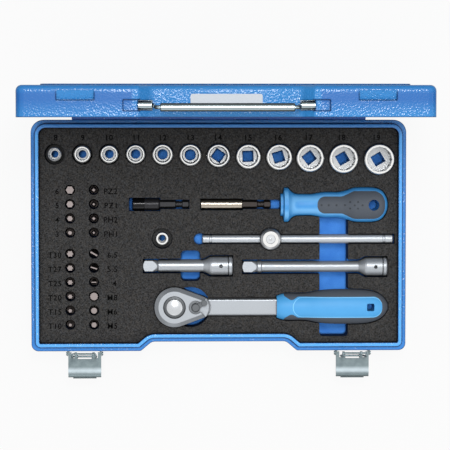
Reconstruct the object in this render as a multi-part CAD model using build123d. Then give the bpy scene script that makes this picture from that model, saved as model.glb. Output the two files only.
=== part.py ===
from build123d import *
from math import atan2, cos, pi, radians, sin, tan
import os

# Socket wrench set in a hinged sheet-steel case, open, with its lid standing at a right angle.
# Origin: centre of the tray's underside. +X to the right, +Y to the hinge, +Z up. Millimetres.

# ------------------------------------------------------------------ case
CASE_DEPTH = 198.0
END_MARGIN = 9.95  # from the outermost tool to the case's end
TRAY_HEIGHT = 34.0  # floor to the shoulder on which the closed lid sits
LID_HEIGHT = 24.8
SHEET = 1.0
SHEET_BEND = 2.2
LID_BEND = 4.5  # between the lid's walls and its top
REAR_CORNER = 11.0
FRONT_CORNER = 6.0
RECESS_HALF = 57.5  # flat half width of the recess for the handle
RECESS_SLOPE = 9.5
RECESS_DEPTH = 8.0
RECESS_FLOOR_CORNER = 7.0
RECESS_MOUTH_CORNER = 3.0
SHOULDER = 3.2
LIP_WIDTH = 3.6
LIP_HEIGHT = 4.0
LIP_ROUND = 1.2
SEAM_GAP = 0.2
LID_HEM = 2.2
LID_HEM_HEIGHT = 3.0
PANEL_END_MARGIN, PANEL_SIDE_MARGIN = 17.5, 19.0  # round the raised panel pressed into the lid's top
PANEL_RISE = 1.2
PANEL_CORNER = 8.0
LID_PAD_THICKNESS = 8.0
LID_PAD_EDGE = 14.0

# ------------------------------------------------------------------ hinge
HINGE_LENGTH = 251.0
HINGE_KNUCKLES = 9
HINGE_KNUCKLE_RADIUS = 2.2
HINGE_PIN_RADIUS = 1.1
HINGE_LEAF = 0.9
HINGE_LEAF_HEIGHT = 11.0
HINGE_OFFSET = 2.4  # from the case's back to the axis

# ------------------------------------------------------------------ carrying handle
BRACKET_INNER = 57.0
BRACKET_OUTER = 67.5
BRACKET_RADIUS = 3.3
BRACKET_FOOT = 48.0
BRACKET_FOOT_THICKNESS = 1.0
HANDLE_AXIS_RISE = 9.3  # from the seam
HANDLE_AXIS_DEPTH = 4.0  # behind the front wall's outer face
HANDLE_REACH = 23.0
HANDLE_LEAN = 4.0  # past square, towards the seam
HANDLE_WIRE_RADIUS = 1.5
HANDLE_WIRE_END = 65.5
HANDLE_PIVOT_BEND = 55.2
HANDLE_GRIP_BEND = 54.0
HANDLE_BEND_RADIUS = 3.0
GRIP_RADIUS = 3.2
GRIP_HALF = 50.8
SIDE_POCKET_END = 79.0
SIDE_POCKET_HEIGHT = 8.6
SIDE_POCKET_DEPTH = 2.0
LABEL_LENGTH = 55.0
LABEL_HEIGHT = 12.0
LABEL_RISE = 6.0
LABEL_THICKNESS = 0.6

# ------------------------------------------------------------------ latches
LATCH_FROM_END = 45.2
LEVER_WIDTH = 28.2
LEVER_SHEET = 1.0
LEVER_LENGTH = 16.3  # pivot to the start of the curled end
LEVER_CURL = 6.0
LEVER_CURL_ANGLE = 45.0
LEVER_TAB = 1.6
LEVER_TAB_WIDTH = 20.0
LEVER_FLANGE = 0.9
LATCH_PIVOT_OUT = 2.8  # from the front wall's outer face
LATCH_PIVOT_DROP = 6.0  # below the seam
LATCH_PIVOT_RADIUS = 0.8
BAIL_OFFSET = 2.6  # lever pivot to bail pivot, along the lever
BAIL_SINK = 0.9  # and across it
BAIL_HALF_WIDTH = 10.0
BAIL_LEG = 23.0
BAIL_CRANK = 3.1
BAIL_RADIUS = 0.8
BAIL_LEAN = 4.0
LEVER_WINDOW_HALF, LEVER_WINDOW_END = 6.6, 4.6  # opening in the lever over the bail's lower bar
STRIKE_WIDTH = 29.0
STRIKE_RISE = 13.2
STRIKE_HEIGHT = 7.9
STRIKE_DEPTH = 2.6
BASE_SHEET = 0.7
BASE_DROP = 22.0
EAR_SHEET = 0.8
EAR_GAP = 0.25
EAR_RADIUS = 2.0
RIVET_RADIUS = 1.5
RIVET_HEAD = 2.6
RIVET_X = 9.0
RIVET_DROP = 18.5
RUNNING = 0.05  # radial clearance of a pin that turns

# ------------------------------------------------------------------ foam inlay
FOAM_GAP = 1.5  # between foam and tray wall, clear of the wall's inner bend
SKIN = 5.0  # black layer on the blue block
FOAM_SINK = 0.3  # foam top below the underside of the shoulder
SEAT = 0.3  # tool to the bottom of its pocket
SIDE = 0.4  # tool to the side of its pocket
FINGER_FLOOR = 12.0
FINGER_SLOT = (86.4, 111.1, -87.1, 30.0)
FINGER_NOTCH = (-32.8, -15.8, -39.2, -12.8)
FINGER_ROUND = (-24.7, -61.5, 17.4)

# ------------------------------------------------------------------ drives
SQUARE = 9.5
SQUARE_HOLE = 9.7
SQUARE_LENGTH = 11.5
BALL_RADIUS = 1.6
HEX = 6.35
HEX_HOLE = 6.45

# ------------------------------------------------------------------ sockets: size, x, rim diameter, turn
SOCKETS = (
    (8, -140.2, 11.9, 0.0),
    (9, -116.6, 14.4, 0.0),
    (10, -93.7, 15.3, 0.0),
    (11, -71.2, 16.2, 0.0),
    (12, -48.1, 17.5, 0.0),
    (13, -24.4, 18.5, 0.0),
    (14, -0.4, 19.6, 55.0),
    (15, 25.2, 21.1, 2.0),
    (16, 51.6, 22.2, 17.0),
    (17, 78.1, 23.7, 38.0),
    (18, 106.8, 24.9, 30.0),
    (19, 137.5, 26.1, 30.0),
)
SOCKET_ROW_BACK = 78.6
SOCKET_LENGTH = 28.0
SOCKET_LONG_FROM, SOCKET_EXTRA_LENGTH = 15, 2.0
SOCKET_TOP = 36.0
SOCKET_DRIVE_DIAMETER = 17.0
SOCKET_DRIVE_LENGTH = 13.0
SOCKET_CHAMFER = 0.8
SOCKET_THROUGH_FROM = 14  # from this size up the square hole is seen through the nut opening

# ------------------------------------------------------------------ bits
BIT_LENGTH = 25.0
BIT_TOP = 34.6
BIT_SHANK = 13.0
BIT_HOLE_RADIUS = 4.4
BIT_LEFT = -127.3
BIT_RIGHT = -107.0
BIT_PITCH = 12.2
BIT_FIRST_ROW = 39.2
BIT_SECOND_ROW = -15.4
HEX_BITS = (6.0, 5.0, 4.0, 3.0)
TORX_BITS = (5.6, 5.1, 4.5, 3.95, 3.35, 2.8)
CROSS_BITS = (6.0, 4.5, 6.0, 4.5)
SLOT_BITS = ((6.5, 1.2, -30.0), (5.5, 1.0, -18.0), (4.0, 0.8, 0.0))
SPLINE_BITS = (6.9, 5.4, 4.6)

# ------------------------------------------------------------------ bit adaptor
ADAPTOR_X, ADAPTOR_Y = -48.6, -2.5
ADAPTOR_LENGTH = 26.0
ADAPTOR_TOP = 35.0
ADAPTOR_DIAMETER = 11.6
ADAPTOR_DRIVE_LENGTH = 12.5
ADAPTOR_BORE_RADIUS = 2.6

# ------------------------------------------------------------------ bit holders
HOLDER_Z = 28.0
QUICK_Y = 26.7
QUICK_FRONT, QUICK_COLLAR, QUICK_BACK = -74.1, -63.6, -50.3
QUICK_RADIUS = 5.4
QUICK_CORE_RADIUS = 4.3
QUICK_TRAVEL = 3.0
QUICK_END = -25.6
MAGNET_Y = 26.6
MAGNET_FRONT, MAGNET_BACK = -15.6, 20.2
MAGNET_RADIUS = 4.7
MAGNET_END = 44.5
MAGNET_NOTCH = 52.7
SHANK_GROOVE = 5.0
SHANK_TIP = 6.2
SHANK_GROOVE_RADIUS = 2.5
HOLDER_HEX_DEPTH = 11.0

# ------------------------------------------------------------------ screwdriver handle
DRIVER_Y = 26.2
DRIVER_Z = 29.5
DRIVER_FRONT, DRIVER_BACK = 52.9, 145.1
DRIVER_COLLAR_RADIUS, DRIVER_COLLAR_END = 9.6, 1.9
DRIVER_FLANGE_RADIUS, DRIVER_FLANGE_START, DRIVER_FLANGE_END = 14.7, 3.0, 6.4
DRIVER_STATIONS = (  # distance from the front, radius: waist, body, shoulder and bulb
    (8.8, 11.9), (12.5, 9.7), (19.0, 9.2), (27.0, 9.3), (33.0, 10.3), (38.5, 10.9), (50.0, 11.0),
    (56.0, 12.3), (61.5, 14.2), (68.0, 14.9), (75.0, 14.9), (80.0, 14.6),
)
DRIVER_HOLE_X, DRIVER_HOLE_RADIUS = 132.1, 4.7
DRIVER_INLAY = 1.5
DRIVER_INLAY_START, DRIVER_INLAY_END = 84.1, 142.0
DRIVER_TONGUE_END, DRIVER_SHOULDER_END = 105.4, 115.4
DRIVER_INLAY_NARROW, DRIVER_INLAY_WIDE = 14.6, 24.0
DRIVER_BUSH_RADIUS, DRIVER_BUSH_LENGTH = 6.0, 24.0

# ------------------------------------------------------------------ sliding T-handle
T_Y = -3.1
T_BAR_RADIUS = 4.0
T_BAR_LEFT, T_BAR_RIGHT = -14.2, 149.6
T_BAR_Z = 29.5
T_NOTCH_LEFT = -21.7
T_HEAD_X = 44.2
T_HEAD_RADIUS = 9.1
T_HEAD_RING, T_HEAD_EYE = 6.8, 4.0  # flat ring on top, and the recess inside it
T_HEAD_ABOVE, T_HEAD_BELOW = 8.0, 9.5

# ------------------------------------------------------------------ extension bars
EXT_Z = 27.5
SHORT_Y = -26.2
SHORT_LEFT, SHORT_RIGHT = -64.9, 11.7
SHORT_SHAFT_RADIUS = 5.55
SHORT_HEAD_RADIUS, SHORT_HEAD_LENGTH = 8.5, 19.5
LONG_Y = -27.1
LONG_LEFT, LONG_RIGHT = 20.2, 144.6
LONG_SHAFT_RADIUS, LONG_COLLAR_RADIUS = 4.8, 5.5
LONG_HEAD_RADIUS, LONG_HEAD_LENGTH = 8.3, 19.0
EXT_FLARE = 5.5
EXT_FLANGE, EXT_FLANGE_STEP = 3.1, 0.4  # rim at the socket end, proud of the head
EXT_COLLAR = 4.2
EXT_SQUARE_DEPTH = 12.0
EXT_SQUARE_ROOM = 1.2  # beside the square end, for a fingertip
EXT_DIMPLE_RADIUS = 1.5

# ------------------------------------------------------------------ ratchet
RATCHET_Y = -61.5
RATCHET_Z = 30.0
HEAD_X, HEAD_RADIUS = -38.2, 17.1
HEAD_UP, HEAD_DOWN = 7.0, 8.0
HEAD_BEVEL = 3.4
NOSE_X, NOSE_RADIUS = -16.5, 9.6
SHAFT_HALF_WIDTH, SHAFT_HALF_HEIGHT = 7.5, 5.0
SHAFT_END = 49.6
TANG_END, TANG_HALF_WIDTH, TANG_HALF_HEIGHT = 112.0, 4.0, 3.0
GEAR_TEETH = 36
GEAR_TIP, GEAR_ROOT = 12.5, 11.3
GEAR_HUB_RADIUS = 7.7
GEAR_TOP_RADIUS = 9.55
GEAR_HALF_HEIGHT = 4.0
BUTTON_RADIUS, BUTTON_RISE = 6.75, 2.2
BUTTON_TRAVEL = 1.6
COVER_RADIUS, COVER_THICKNESS = 14.2, 1.6
KNOB_X, KNOB_RADIUS = -20.1, 3.75
KNOB_RECESS_RADIUS = 5.8
FAN_RADIUS, FAN_DEPTH, FAN_FROM, FAN_TO = 11.8, 1.8, -44, 40  # lowered sector in which the arm swings
LEVER_ARM, LEVER_TURN, LEVER_SWING = 11.0, 27.0, 60.0
SPINDLE_RADIUS = 2.0
PAWL_HUB_RADIUS, PAWL_TOOTH = 4.2, 1.6
PAWL_REACH = 25.0  # angle of each pawl tooth about the gear
PAWL_LIFT = 0.25  # both teeth clear the gear by this with the pawl level
PAWL_TILT = 5.0
HANDLE_START, HANDLE_END = 49.6, 145.3
HANDLE_STATIONS = (  # distance along the handle, half width
    (0.0, 9.5), (4.5, 11.0), (11.2, 11.7), (18.0, 11.5), (25.4, 11.8), (36.0, 13.8), (46.3, 14.8),
    (65.3, 14.9), (79.6, 13.9), (87.2, 11.6), (92.6, 7.6), (95.7, 3.0),
)
HANDLE_FLATTEN = 0.86
GRIP_INLAY_START, GRIP_INLAY_END, GRIP_INLAY_WIDTH, GRIP_INLAY_NECK = 62.3, 140.0, 18.0, 11.0
GRIP_THICKNESS = 1.6
HANG_HOLE_X, HANG_HOLE = 129.8, 6.5

THROUGH = 40.0  # reach of a cut that goes right through a tool

# ------------------------------------------------------------------ worked-out places
TOOL_REACH = max(SOCKETS[-1][1] + SOCKETS[-1][2] / 2, HANDLE_END, DRIVER_BACK, T_BAR_RIGHT, LONG_RIGHT)
CASE_LENGTH = 2 * (TOOL_REACH + END_MARGIN)
LATCH_X = CASE_LENGTH / 2 - LATCH_FROM_END
PANEL_HALF_LENGTH = CASE_LENGTH / 2 - PANEL_END_MARGIN
PANEL_HALF_DEPTH = CASE_DEPTH / 2 - PANEL_SIDE_MARGIN
FRONT = -CASE_DEPTH / 2
REAR = CASE_DEPTH / 2
SEAM = TRAY_HEIGHT
FOAM_TOP = TRAY_HEIGHT - SHEET - FOAM_SINK
SKIN_BOTTOM = FOAM_TOP - SKIN
FOAM_CUT_SOCKETS = BIT_FIRST_ROW + 8.0
FOAM_CUT_HOLDERS = DRIVER_Y - 17.2
FOAM_CUT_BARS = RATCHET_Y + HEAD_RADIUS + 2.7
FOAM_CUT_BITS = BIT_RIGHT + 15.0
LID_BOTTOM = SEAM + SEAM_GAP
LID_TOP = SEAM + LID_HEIGHT
HINGE_Y = REAR + HINGE_OFFSET
HINGE_Z = SEAM + SEAM_GAP / 2
HANDLE_Z = SEAM + HANDLE_AXIS_RISE
LATCH_PIVOT_Z = SEAM - LATCH_PIVOT_DROP
STRIKE_Z = SEAM + STRIKE_RISE


# ------------------------------------------------------------------ small shapes
def block(x0, x1, y0, y1, z0, z1):
    """Box between two corners."""
    centre = ((x0 + x1) / 2, (y0 + y1) / 2, (z0 + z1) / 2)
    return Pos(*centre) * Box(abs(x1 - x0), abs(y1 - y0), abs(z1 - z0))


def front_block(x0, x1, out0, out1, z0, z1):
    """Box placed by its distance out from the front wall's outer face."""
    return block(x0, x1, FRONT - out1, FRONT - out0, z0, z1)


def rod(radius, z0, z1, x=0.0, y=0.0):
    """Upright cylinder."""
    return Pos(x, y, (z0 + z1) / 2) * Cylinder(radius, z1 - z0)


def cross_rod(radius, x0, x1, y, z):
    """Cylinder along X."""
    return Pos((x0 + x1) / 2, y, z) * Rot(0, 90, 0) * Cylinder(radius, x1 - x0)


def prism(face, z0, z1):
    """Plan face raised from z0 to z1."""
    return extrude(Pos(0, 0, z0) * face, z1 - z0, dir=(0, 0, 1))


def upright(points):
    """Solid turned about Z from (radius, z) points."""
    return revolve(Plane.XZ * make_face(Polyline(*points, close=True)), Axis.Z)


def lying(points, y, z):
    """Solid turned about X from (x, radius) points, laid at y and z."""
    return Pos(0, y, z) * revolve(make_face(Polyline(*points, close=True)), Axis.X)


def hexagon(across):
    return RegularPolygon(across / 2, 6, major_radius=False)


def star(points, outer, inner, turn=0.0):
    """Polygon with its corners on two radii in turn."""
    corners = []
    for i in range(2 * points):
        radius = inner if i % 2 else outer
        angle = pi * i / points + radians(turn)
        corners.append((radius * cos(angle), radius * sin(angle)))
    return make_face(Polyline(*corners, close=True))


def side_profile(points, x0, x1):
    """Profile of (y, z) points carried along X."""
    face = Plane.YZ * make_face(Polyline(*points, close=True))
    return Pos(x0, 0, 0) * extrude(face, x1 - x0, dir=(1, 0, 0))


def both_sides(shape):
    """The shape and its mirror image in the YZ plane, as two solids."""
    return [shape, mirror(shape, about=Plane.YZ)]


def save(name, shapes):
    """Writes one node, from one solid or a list of them."""
    solids = []
    for shape in shapes if isinstance(shapes, list) else [shapes]:
        solids.extend(shape.solids())
    export_step(Compound(children=solids), f"parts/{name}.step")


# ------------------------------------------------------------------ case shells
def case_outline(inset, extra_corner=0.0):
    """Plan outline of the case drawn in by inset, with the handle's recess in its front."""
    angle = atan2(RECESS_DEPTH, RECESS_SLOPE)
    shift = inset * tan(angle / 2)
    x = CASE_LENGTH / 2 - inset
    floor_x = RECESS_HALF + shift
    mouth_x = RECESS_HALF + RECESS_SLOPE + shift
    front = FRONT + inset
    floor = FRONT + RECESS_DEPTH + inset
    corners = (
        (-x, REAR - inset), (-x, front), (-mouth_x, front), (-floor_x, floor),
        (floor_x, floor), (mouth_x, front), (x, front), (x, REAR - inset),
    )
    rear = max(REAR_CORNER - inset + extra_corner, 1.0)
    nose = max(FRONT_CORNER - inset + extra_corner, 1.0)
    mouth = max(RECESS_MOUTH_CORNER - inset, 0.6)
    root = RECESS_FLOOR_CORNER + inset
    radii = [rear, nose, mouth, root, root, mouth, nose, rear]
    return make_face(FilletPolyline(*corners, radius=radii, close=True))


def lowest_edges(shape):
    return shape.edges().group_by(Axis.Z)[0]


def highest_edges(shape):
    return shape.edges().group_by(Axis.Z)[-1]


def make_tray():
    """Pressed lower shell: floor, walls, shoulder and upright lip."""
    lip_inner = SHOULDER + LIP_WIDTH
    outer = prism(case_outline(0), 0, TRAY_HEIGHT)
    outer = fillet(lowest_edges(outer), SHEET_BEND)
    inner = prism(case_outline(SHEET), SHEET, TRAY_HEIGHT - SHEET)
    inner = fillet(lowest_edges(inner), max(SHEET_BEND - SHEET, 0.3))
    mouth = prism(case_outline(lip_inner, 2.0), TRAY_HEIGHT - 2 * SHEET, TRAY_HEIGHT + SHEET)
    lip = prism(case_outline(SHOULDER, 2.0), TRAY_HEIGHT - SHEET, TRAY_HEIGHT + LIP_HEIGHT)
    lip = fillet(highest_edges(lip), LIP_ROUND)
    lip_hole = prism(case_outline(lip_inner, 2.0), TRAY_HEIGHT - 2 * SHEET, TRAY_HEIGHT + 2 * LIP_HEIGHT)
    tray = outer - inner - mouth + (lip - lip_hole)
    for x in latch_rivet_places():
        tray -= front_rod(RIVET_RADIUS, -2 * SHEET, SHEET, x, SEAM - RIVET_DROP)
    return tray


def front_rod(radius, out0, out1, x, z):
    """Cylinder along Y, placed by its distance out from the front wall's outer face."""
    middle = FRONT - (out0 + out1) / 2
    return Pos(x, middle, z) * Rot(90, 0, 0) * Cylinder(radius, out1 - out0)


def latch_rivet_places():
    return [side * LATCH_X + x for side in (-1, 1) for x in (-RIVET_X, RIVET_X)]


def panel(inset, z0, z1):
    """The lid's raised panel, drawn in by inset."""
    length = 2 * (PANEL_HALF_LENGTH - inset)
    depth = 2 * (PANEL_HALF_DEPTH - inset)
    return prism(RectangleRounded(length, depth, PANEL_CORNER - inset), z0, z1)


def make_lid():
    """Pressed upper shell, drawn closed: walls, hem, raised panel, strikes and handle windows."""
    outer = prism(case_outline(0), LID_BOTTOM, LID_TOP)
    outer = fillet(highest_edges(outer), LID_BEND)
    inner = prism(case_outline(SHEET), LID_BOTTOM + LID_HEM_HEIGHT, LID_TOP - SHEET)
    inner = fillet(highest_edges(inner), max(LID_BEND - SHEET, 0.3))
    mouth = prism(case_outline(LID_HEM), LID_BOTTOM - SHEET, LID_BOTTOM + LID_HEM_HEIGHT + SHEET)
    raised = fillet(highest_edges(panel(0, LID_TOP - SHEET / 2, LID_TOP + PANEL_RISE)), PANEL_RISE * 0.6)
    lid = outer + raised - inner - mouth
    lid -= panel(SHEET, LID_TOP - 2 * SHEET, LID_TOP + PANEL_RISE - SHEET)
    for side in (-1, 1):
        lid = add_strike(lid, side * LATCH_X)
        lid = add_side_pocket(lid, side)
        window = front_block(
            side * (BRACKET_INNER - 0.2), side * (BRACKET_OUTER + 0.2),
            -RECESS_DEPTH - 2 * SHEET, SHEET,
            HANDLE_Z - BRACKET_RADIUS - 0.4, HANDLE_Z + BRACKET_RADIUS + 0.4,
        )
        lid -= window
    return lid


def add_strike(lid, x):
    """Ramp pressed into the front wall, deepest at the step that the latch's bail pulls on."""
    half = STRIKE_WIDTH / 2
    step, flush = STRIKE_Z, STRIKE_Z + STRIKE_HEIGHT
    boss = front_block(x - half - SHEET, x + half + SHEET, -STRIKE_DEPTH - SHEET, -SHEET / 2,
                       step - SHEET, flush + SHEET)
    ramp = ((FRONT - SHEET, step), (FRONT + STRIKE_DEPTH, step), (FRONT, flush), (FRONT - SHEET, flush))
    return lid + boss - side_profile(ramp, x - half, x + half)


def add_side_pocket(lid, side):
    """Shallow pressing beside each handle bracket."""
    low, high = HANDLE_Z - SIDE_POCKET_HEIGHT / 2, HANDLE_Z + SIDE_POCKET_HEIGHT / 2
    start = RECESS_HALF + RECESS_SLOPE - 1.0
    boss = front_block(side * start, side * (SIDE_POCKET_END + SHEET), -SIDE_POCKET_DEPTH - SHEET,
                       -SHEET / 2, low - SHEET, high + SHEET)
    hollow = front_block(side * start, side * SIDE_POCKET_END, -SIDE_POCKET_DEPTH, SHEET, low, high)
    return lid + boss - hollow


def open_lid(shape):
    """Turns a shape drawn on the closed lid to the open lid, a quarter turn about the hinge."""
    return Pos(0, HINGE_Y, HINGE_Z) * Rot(-90, 0, 0) * Pos(0, -HINGE_Y, -HINGE_Z) * shape


def make_lid_pad():
    """Soft pad glued under the lid's top, drawn closed."""
    length = 2 * (PANEL_HALF_LENGTH - LID_PAD_EDGE / 2)
    depth = 2 * (PANEL_HALF_DEPTH - LID_PAD_EDGE / 2)
    top = LID_TOP + PANEL_RISE - SHEET
    return prism(RectangleRounded(length, depth, PANEL_CORNER), top - LID_PAD_THICKNESS, top)


# ------------------------------------------------------------------ hinge
def knuckles(first):
    """Every second knuckle, from the given one, as spans along X."""
    pitch = HINGE_LENGTH / HINGE_KNUCKLES
    start = -HINGE_LENGTH / 2
    gap = 0.1
    return [
        (start + i * pitch + gap, start + (i + 1) * pitch - gap)
        for i in range(first, HINGE_KNUCKLES, 2)
    ]


def hinge_leaf(first, low, high, tangent):
    """Leaf on the back wall with its knuckles; tangent is the side that runs into them."""
    half = HINGE_LENGTH / 2
    leaf = block(-half, half, REAR, REAR + HINGE_LEAF, low, high)
    bore = cross_rod(HINGE_PIN_RADIUS + RUNNING, -half - 1, half + 1, HINGE_Y, HINGE_Z)
    for x0, x1 in knuckles(first):
        leaf += cross_rod(HINGE_KNUCKLE_RADIUS, x0, x1, HINGE_Y, HINGE_Z)
        leaf += block(x0, x1, REAR, REAR + HINGE_LEAF, min(tangent, HINGE_Z), max(tangent, HINGE_Z))
    return leaf - bore


# ------------------------------------------------------------------ carrying handle
def make_brackets():
    """Steel ferrules with a foot spot-welded behind the recess floor, drawn on the closed lid."""
    axis_y = FRONT + HANDLE_AXIS_DEPTH
    foot_out = -RECESS_DEPTH - SHEET
    foot = front_block(BRACKET_FOOT, BRACKET_OUTER, foot_out - BRACKET_FOOT_THICKNESS, foot_out,
                       HANDLE_Z - 4.2, HANDLE_Z + 4.2)
    web = front_block(BRACKET_INNER + SHEET + 1.2, BRACKET_OUTER, foot_out - 0.5, -HANDLE_AXIS_DEPTH,
                      HANDLE_Z - 2.5, HANDLE_Z + 2.5)
    ferrule = cross_rod(BRACKET_RADIUS, BRACKET_INNER, BRACKET_OUTER, axis_y, HANDLE_Z)
    bore = cross_rod(HANDLE_WIRE_RADIUS + RUNNING, BRACKET_INNER - 1, HANDLE_WIRE_END + 0.3,
                     axis_y, HANDLE_Z)
    return both_sides(foot + web + ferrule - bore)


def handle_path():
    """Centre line of the handle's wire, standing square out of the closed lid's front."""
    near = FRONT + HANDLE_AXIS_DEPTH
    far = near - HANDLE_REACH
    points = (
        (-HANDLE_WIRE_END, near, HANDLE_Z), (-HANDLE_PIVOT_BEND, near, HANDLE_Z),
        (-HANDLE_GRIP_BEND, far, HANDLE_Z), (HANDLE_GRIP_BEND, far, HANDLE_Z),
        (HANDLE_PIVOT_BEND, near, HANDLE_Z), (HANDLE_WIRE_END, near, HANDLE_Z),
    )
    bends = [HANDLE_BEND_RADIUS - 1, HANDLE_BEND_RADIUS, HANDLE_BEND_RADIUS, HANDLE_BEND_RADIUS - 1]
    return FilletPolyline(*points, radius=bends)


def lean_handle(shape):
    """Turns a shape about the handle's axis, from square to its rest."""
    y = FRONT + HANDLE_AXIS_DEPTH
    return Pos(0, y, HANDLE_Z) * Rot(HANDLE_LEAN, 0, 0) * Pos(0, -y, -HANDLE_Z) * shape


def make_handle_wire():
    path = handle_path()
    return lean_handle(sweep(Plane(origin=path @ 0, z_dir=path % 0) * Circle(HANDLE_WIRE_RADIUS), path=path))


def make_handle_grip():
    """Steel tube closed over the wire."""
    y = FRONT + HANDLE_AXIS_DEPTH - HANDLE_REACH
    tube = cross_rod(GRIP_RADIUS, -GRIP_HALF, GRIP_HALF, y, HANDLE_Z)
    tube = fillet(tube.edges().filter_by(GeomType.CIRCLE), 1.0)
    return lean_handle(tube - cross_rod(HANDLE_WIRE_RADIUS + RUNNING, -GRIP_HALF - 1, GRIP_HALF + 1, y, HANDLE_Z))


def make_label():
    half = LABEL_LENGTH / 2
    low = SEAM + LABEL_RISE
    plate = front_block(-half, half, -RECESS_DEPTH, -RECESS_DEPTH + LABEL_THICKNESS, low, low + LABEL_HEIGHT)
    return fillet(plate.edges().filter_by(Axis.Y), 1.5)


# ------------------------------------------------------------------ latches, drawn at X = 0
def latch_point(along, across):
    """(y, z) of a point given from the lever's pivot: along the open lever, and up from it."""
    return (FRONT - LATCH_PIVOT_OUT - along, LATCH_PIVOT_Z + across)


def make_lever():
    """Sheet lever: plate with a curled end, side flanges and two notches for the bail's legs."""
    half = LEVER_WIDTH / 2
    top = LEVER_SHEET + 0.2
    centre = (LEVER_LENGTH, top - LEVER_CURL)
    angles = (LEVER_CURL_ANGLE / 2, LEVER_CURL_ANGLE)
    small = LEVER_CURL - LEVER_SHEET

    def on_curl(radius, angle):
        turn = radians(angle)
        return latch_point(centre[0] + radius * sin(turn), centre[1] + radius * cos(turn))

    heel = -1.2
    outline = [
        Line(latch_point(heel, top), latch_point(LEVER_LENGTH, top)),
        ThreePointArc(latch_point(LEVER_LENGTH, top), on_curl(LEVER_CURL, angles[0]),
                      on_curl(LEVER_CURL, angles[1])),
        Line(on_curl(LEVER_CURL, angles[1]), on_curl(small, angles[1])),
        ThreePointArc(on_curl(small, angles[1]), on_curl(small, angles[0]),
                      latch_point(LEVER_LENGTH, top - LEVER_SHEET)),
        Line(latch_point(LEVER_LENGTH, top - LEVER_SHEET), latch_point(heel, top - LEVER_SHEET)),
        Line(latch_point(heel, top - LEVER_SHEET), latch_point(heel, top)),
    ]
    plate = extrude(Plane.YZ * make_face(outline), half, both=True, dir=(1, 0, 0))

    end = radians(LEVER_CURL_ANGLE)
    tab_corners = []
    for radius, reach in ((LEVER_CURL, 0), (LEVER_CURL, LEVER_TAB), (small, LEVER_TAB), (small, 0)):
        along = centre[0] + radius * sin(end) + reach * cos(end)
        across = centre[1] + radius * cos(end) - reach * sin(end)
        tab_corners.append(latch_point(along, across))
    tab = side_profile(tab_corners, -LEVER_TAB_WIDTH / 2, LEVER_TAB_WIDTH / 2)

    flange_corners = [
        latch_point(*corner)
        for corner in ((-1.7, 0.9), (-1.7, -1.2), (-0.8, -1.8), (2.5, -1.8),
                       (LEVER_LENGTH + 2.0, -1.1), (LEVER_LENGTH + 2.0, 0.2), (LEVER_LENGTH, 0.9))
    ]
    flange = side_profile(flange_corners, half - LEVER_FLANGE, half)
    bail_y, bail_z = latch_point(BAIL_OFFSET, -BAIL_SINK)
    window_y, _ = latch_point(LEVER_WINDOW_END - 4, 0)
    window = Pos(0, window_y) * RectangleRounded(2 * LEVER_WINDOW_HALF, 8, 1.5)
    plate -= prism(window, bail_z, bail_z + 4)
    keeper_start, keeper_end = LEVER_WINDOW_HALF - 0.6, BAIL_HALF_WIDTH - BAIL_RADIUS - 0.5
    keeper = cross_rod(BAIL_RADIUS + 0.8, keeper_start, keeper_end, bail_y, bail_z)
    lever = plate + tab + flange + mirror(flange, about=Plane.YZ) + keeper + mirror(keeper, about=Plane.YZ)
    lever -= cross_rod(BAIL_RADIUS + RUNNING, -half + LEVER_FLANGE, half - LEVER_FLANGE, bail_y, bail_z)
    for side in (-1, 1):
        y0, z0 = latch_point(heel - 1, -BAIL_SINK)
        y1, _ = latch_point(BAIL_OFFSET + 1.2, 0)
        x = side * BAIL_HALF_WIDTH
        lever -= block(x - BAIL_RADIUS - 0.5, x + BAIL_RADIUS + 0.5, y0, y1, z0, z0 + 4)
    y, z = latch_point(0, 0)
    return lever - cross_rod(LATCH_PIVOT_RADIUS + RUNNING, -half - 1, half + 1, y, z)


def make_bail():
    """Closed wire loop with its hook bar cranked towards the case, leaning in from upright."""
    half = BAIL_HALF_WIDTH
    corners = (
        (-half, 0, 0), (-half, 0, BAIL_LEG), (-half, BAIL_CRANK, BAIL_LEG),
        (half, BAIL_CRANK, BAIL_LEG), (half, 0, BAIL_LEG), (half, 0, 0),
    )
    path = FilletPolyline(*corners, radius=BAIL_RADIUS + 0.4, close=True)
    wire = sweep(Plane(origin=path @ 0, z_dir=path % 0) * Circle(BAIL_RADIUS), path=path)
    y, z = latch_point(BAIL_OFFSET, -BAIL_SINK)
    return Pos(0, y, z) * Rot(-BAIL_LEAN, 0, 0) * wire


def ear_span():
    start = LEVER_WIDTH / 2 + EAR_GAP
    return start, start + EAR_SHEET


def make_latch_base():
    """Plate on the tray's front wall, open behind the bail, with an ear at each side."""
    inner, outer = ear_span()
    low = SEAM - BASE_DROP
    plate = front_block(-outer, outer, 0, BASE_SHEET, low, LATCH_PIVOT_Z + EAR_RADIUS)
    clear = BAIL_HALF_WIDTH + BAIL_RADIUS + 1.4
    plate -= front_block(-clear, clear, -1, BASE_SHEET + 1, SEAM - 11.5, SEAM)
    y, z = latch_point(0, 0)
    for side in (-1, 1):
        x0, x1 = sorted((side * inner, side * outer))
        plate += cross_rod(EAR_RADIUS, x0, x1, y, z)
        plate += block(x0, x1, y, FRONT, z - EAR_RADIUS, z + EAR_RADIUS)
    plate -= cross_rod(LATCH_PIVOT_RADIUS, -outer - 1, outer + 1, y, z)
    for x in (-RIVET_X, RIVET_X):
        plate -= front_rod(RIVET_RADIUS, -1, BASE_SHEET + 1, x, SEAM - RIVET_DROP)
    return plate


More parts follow.
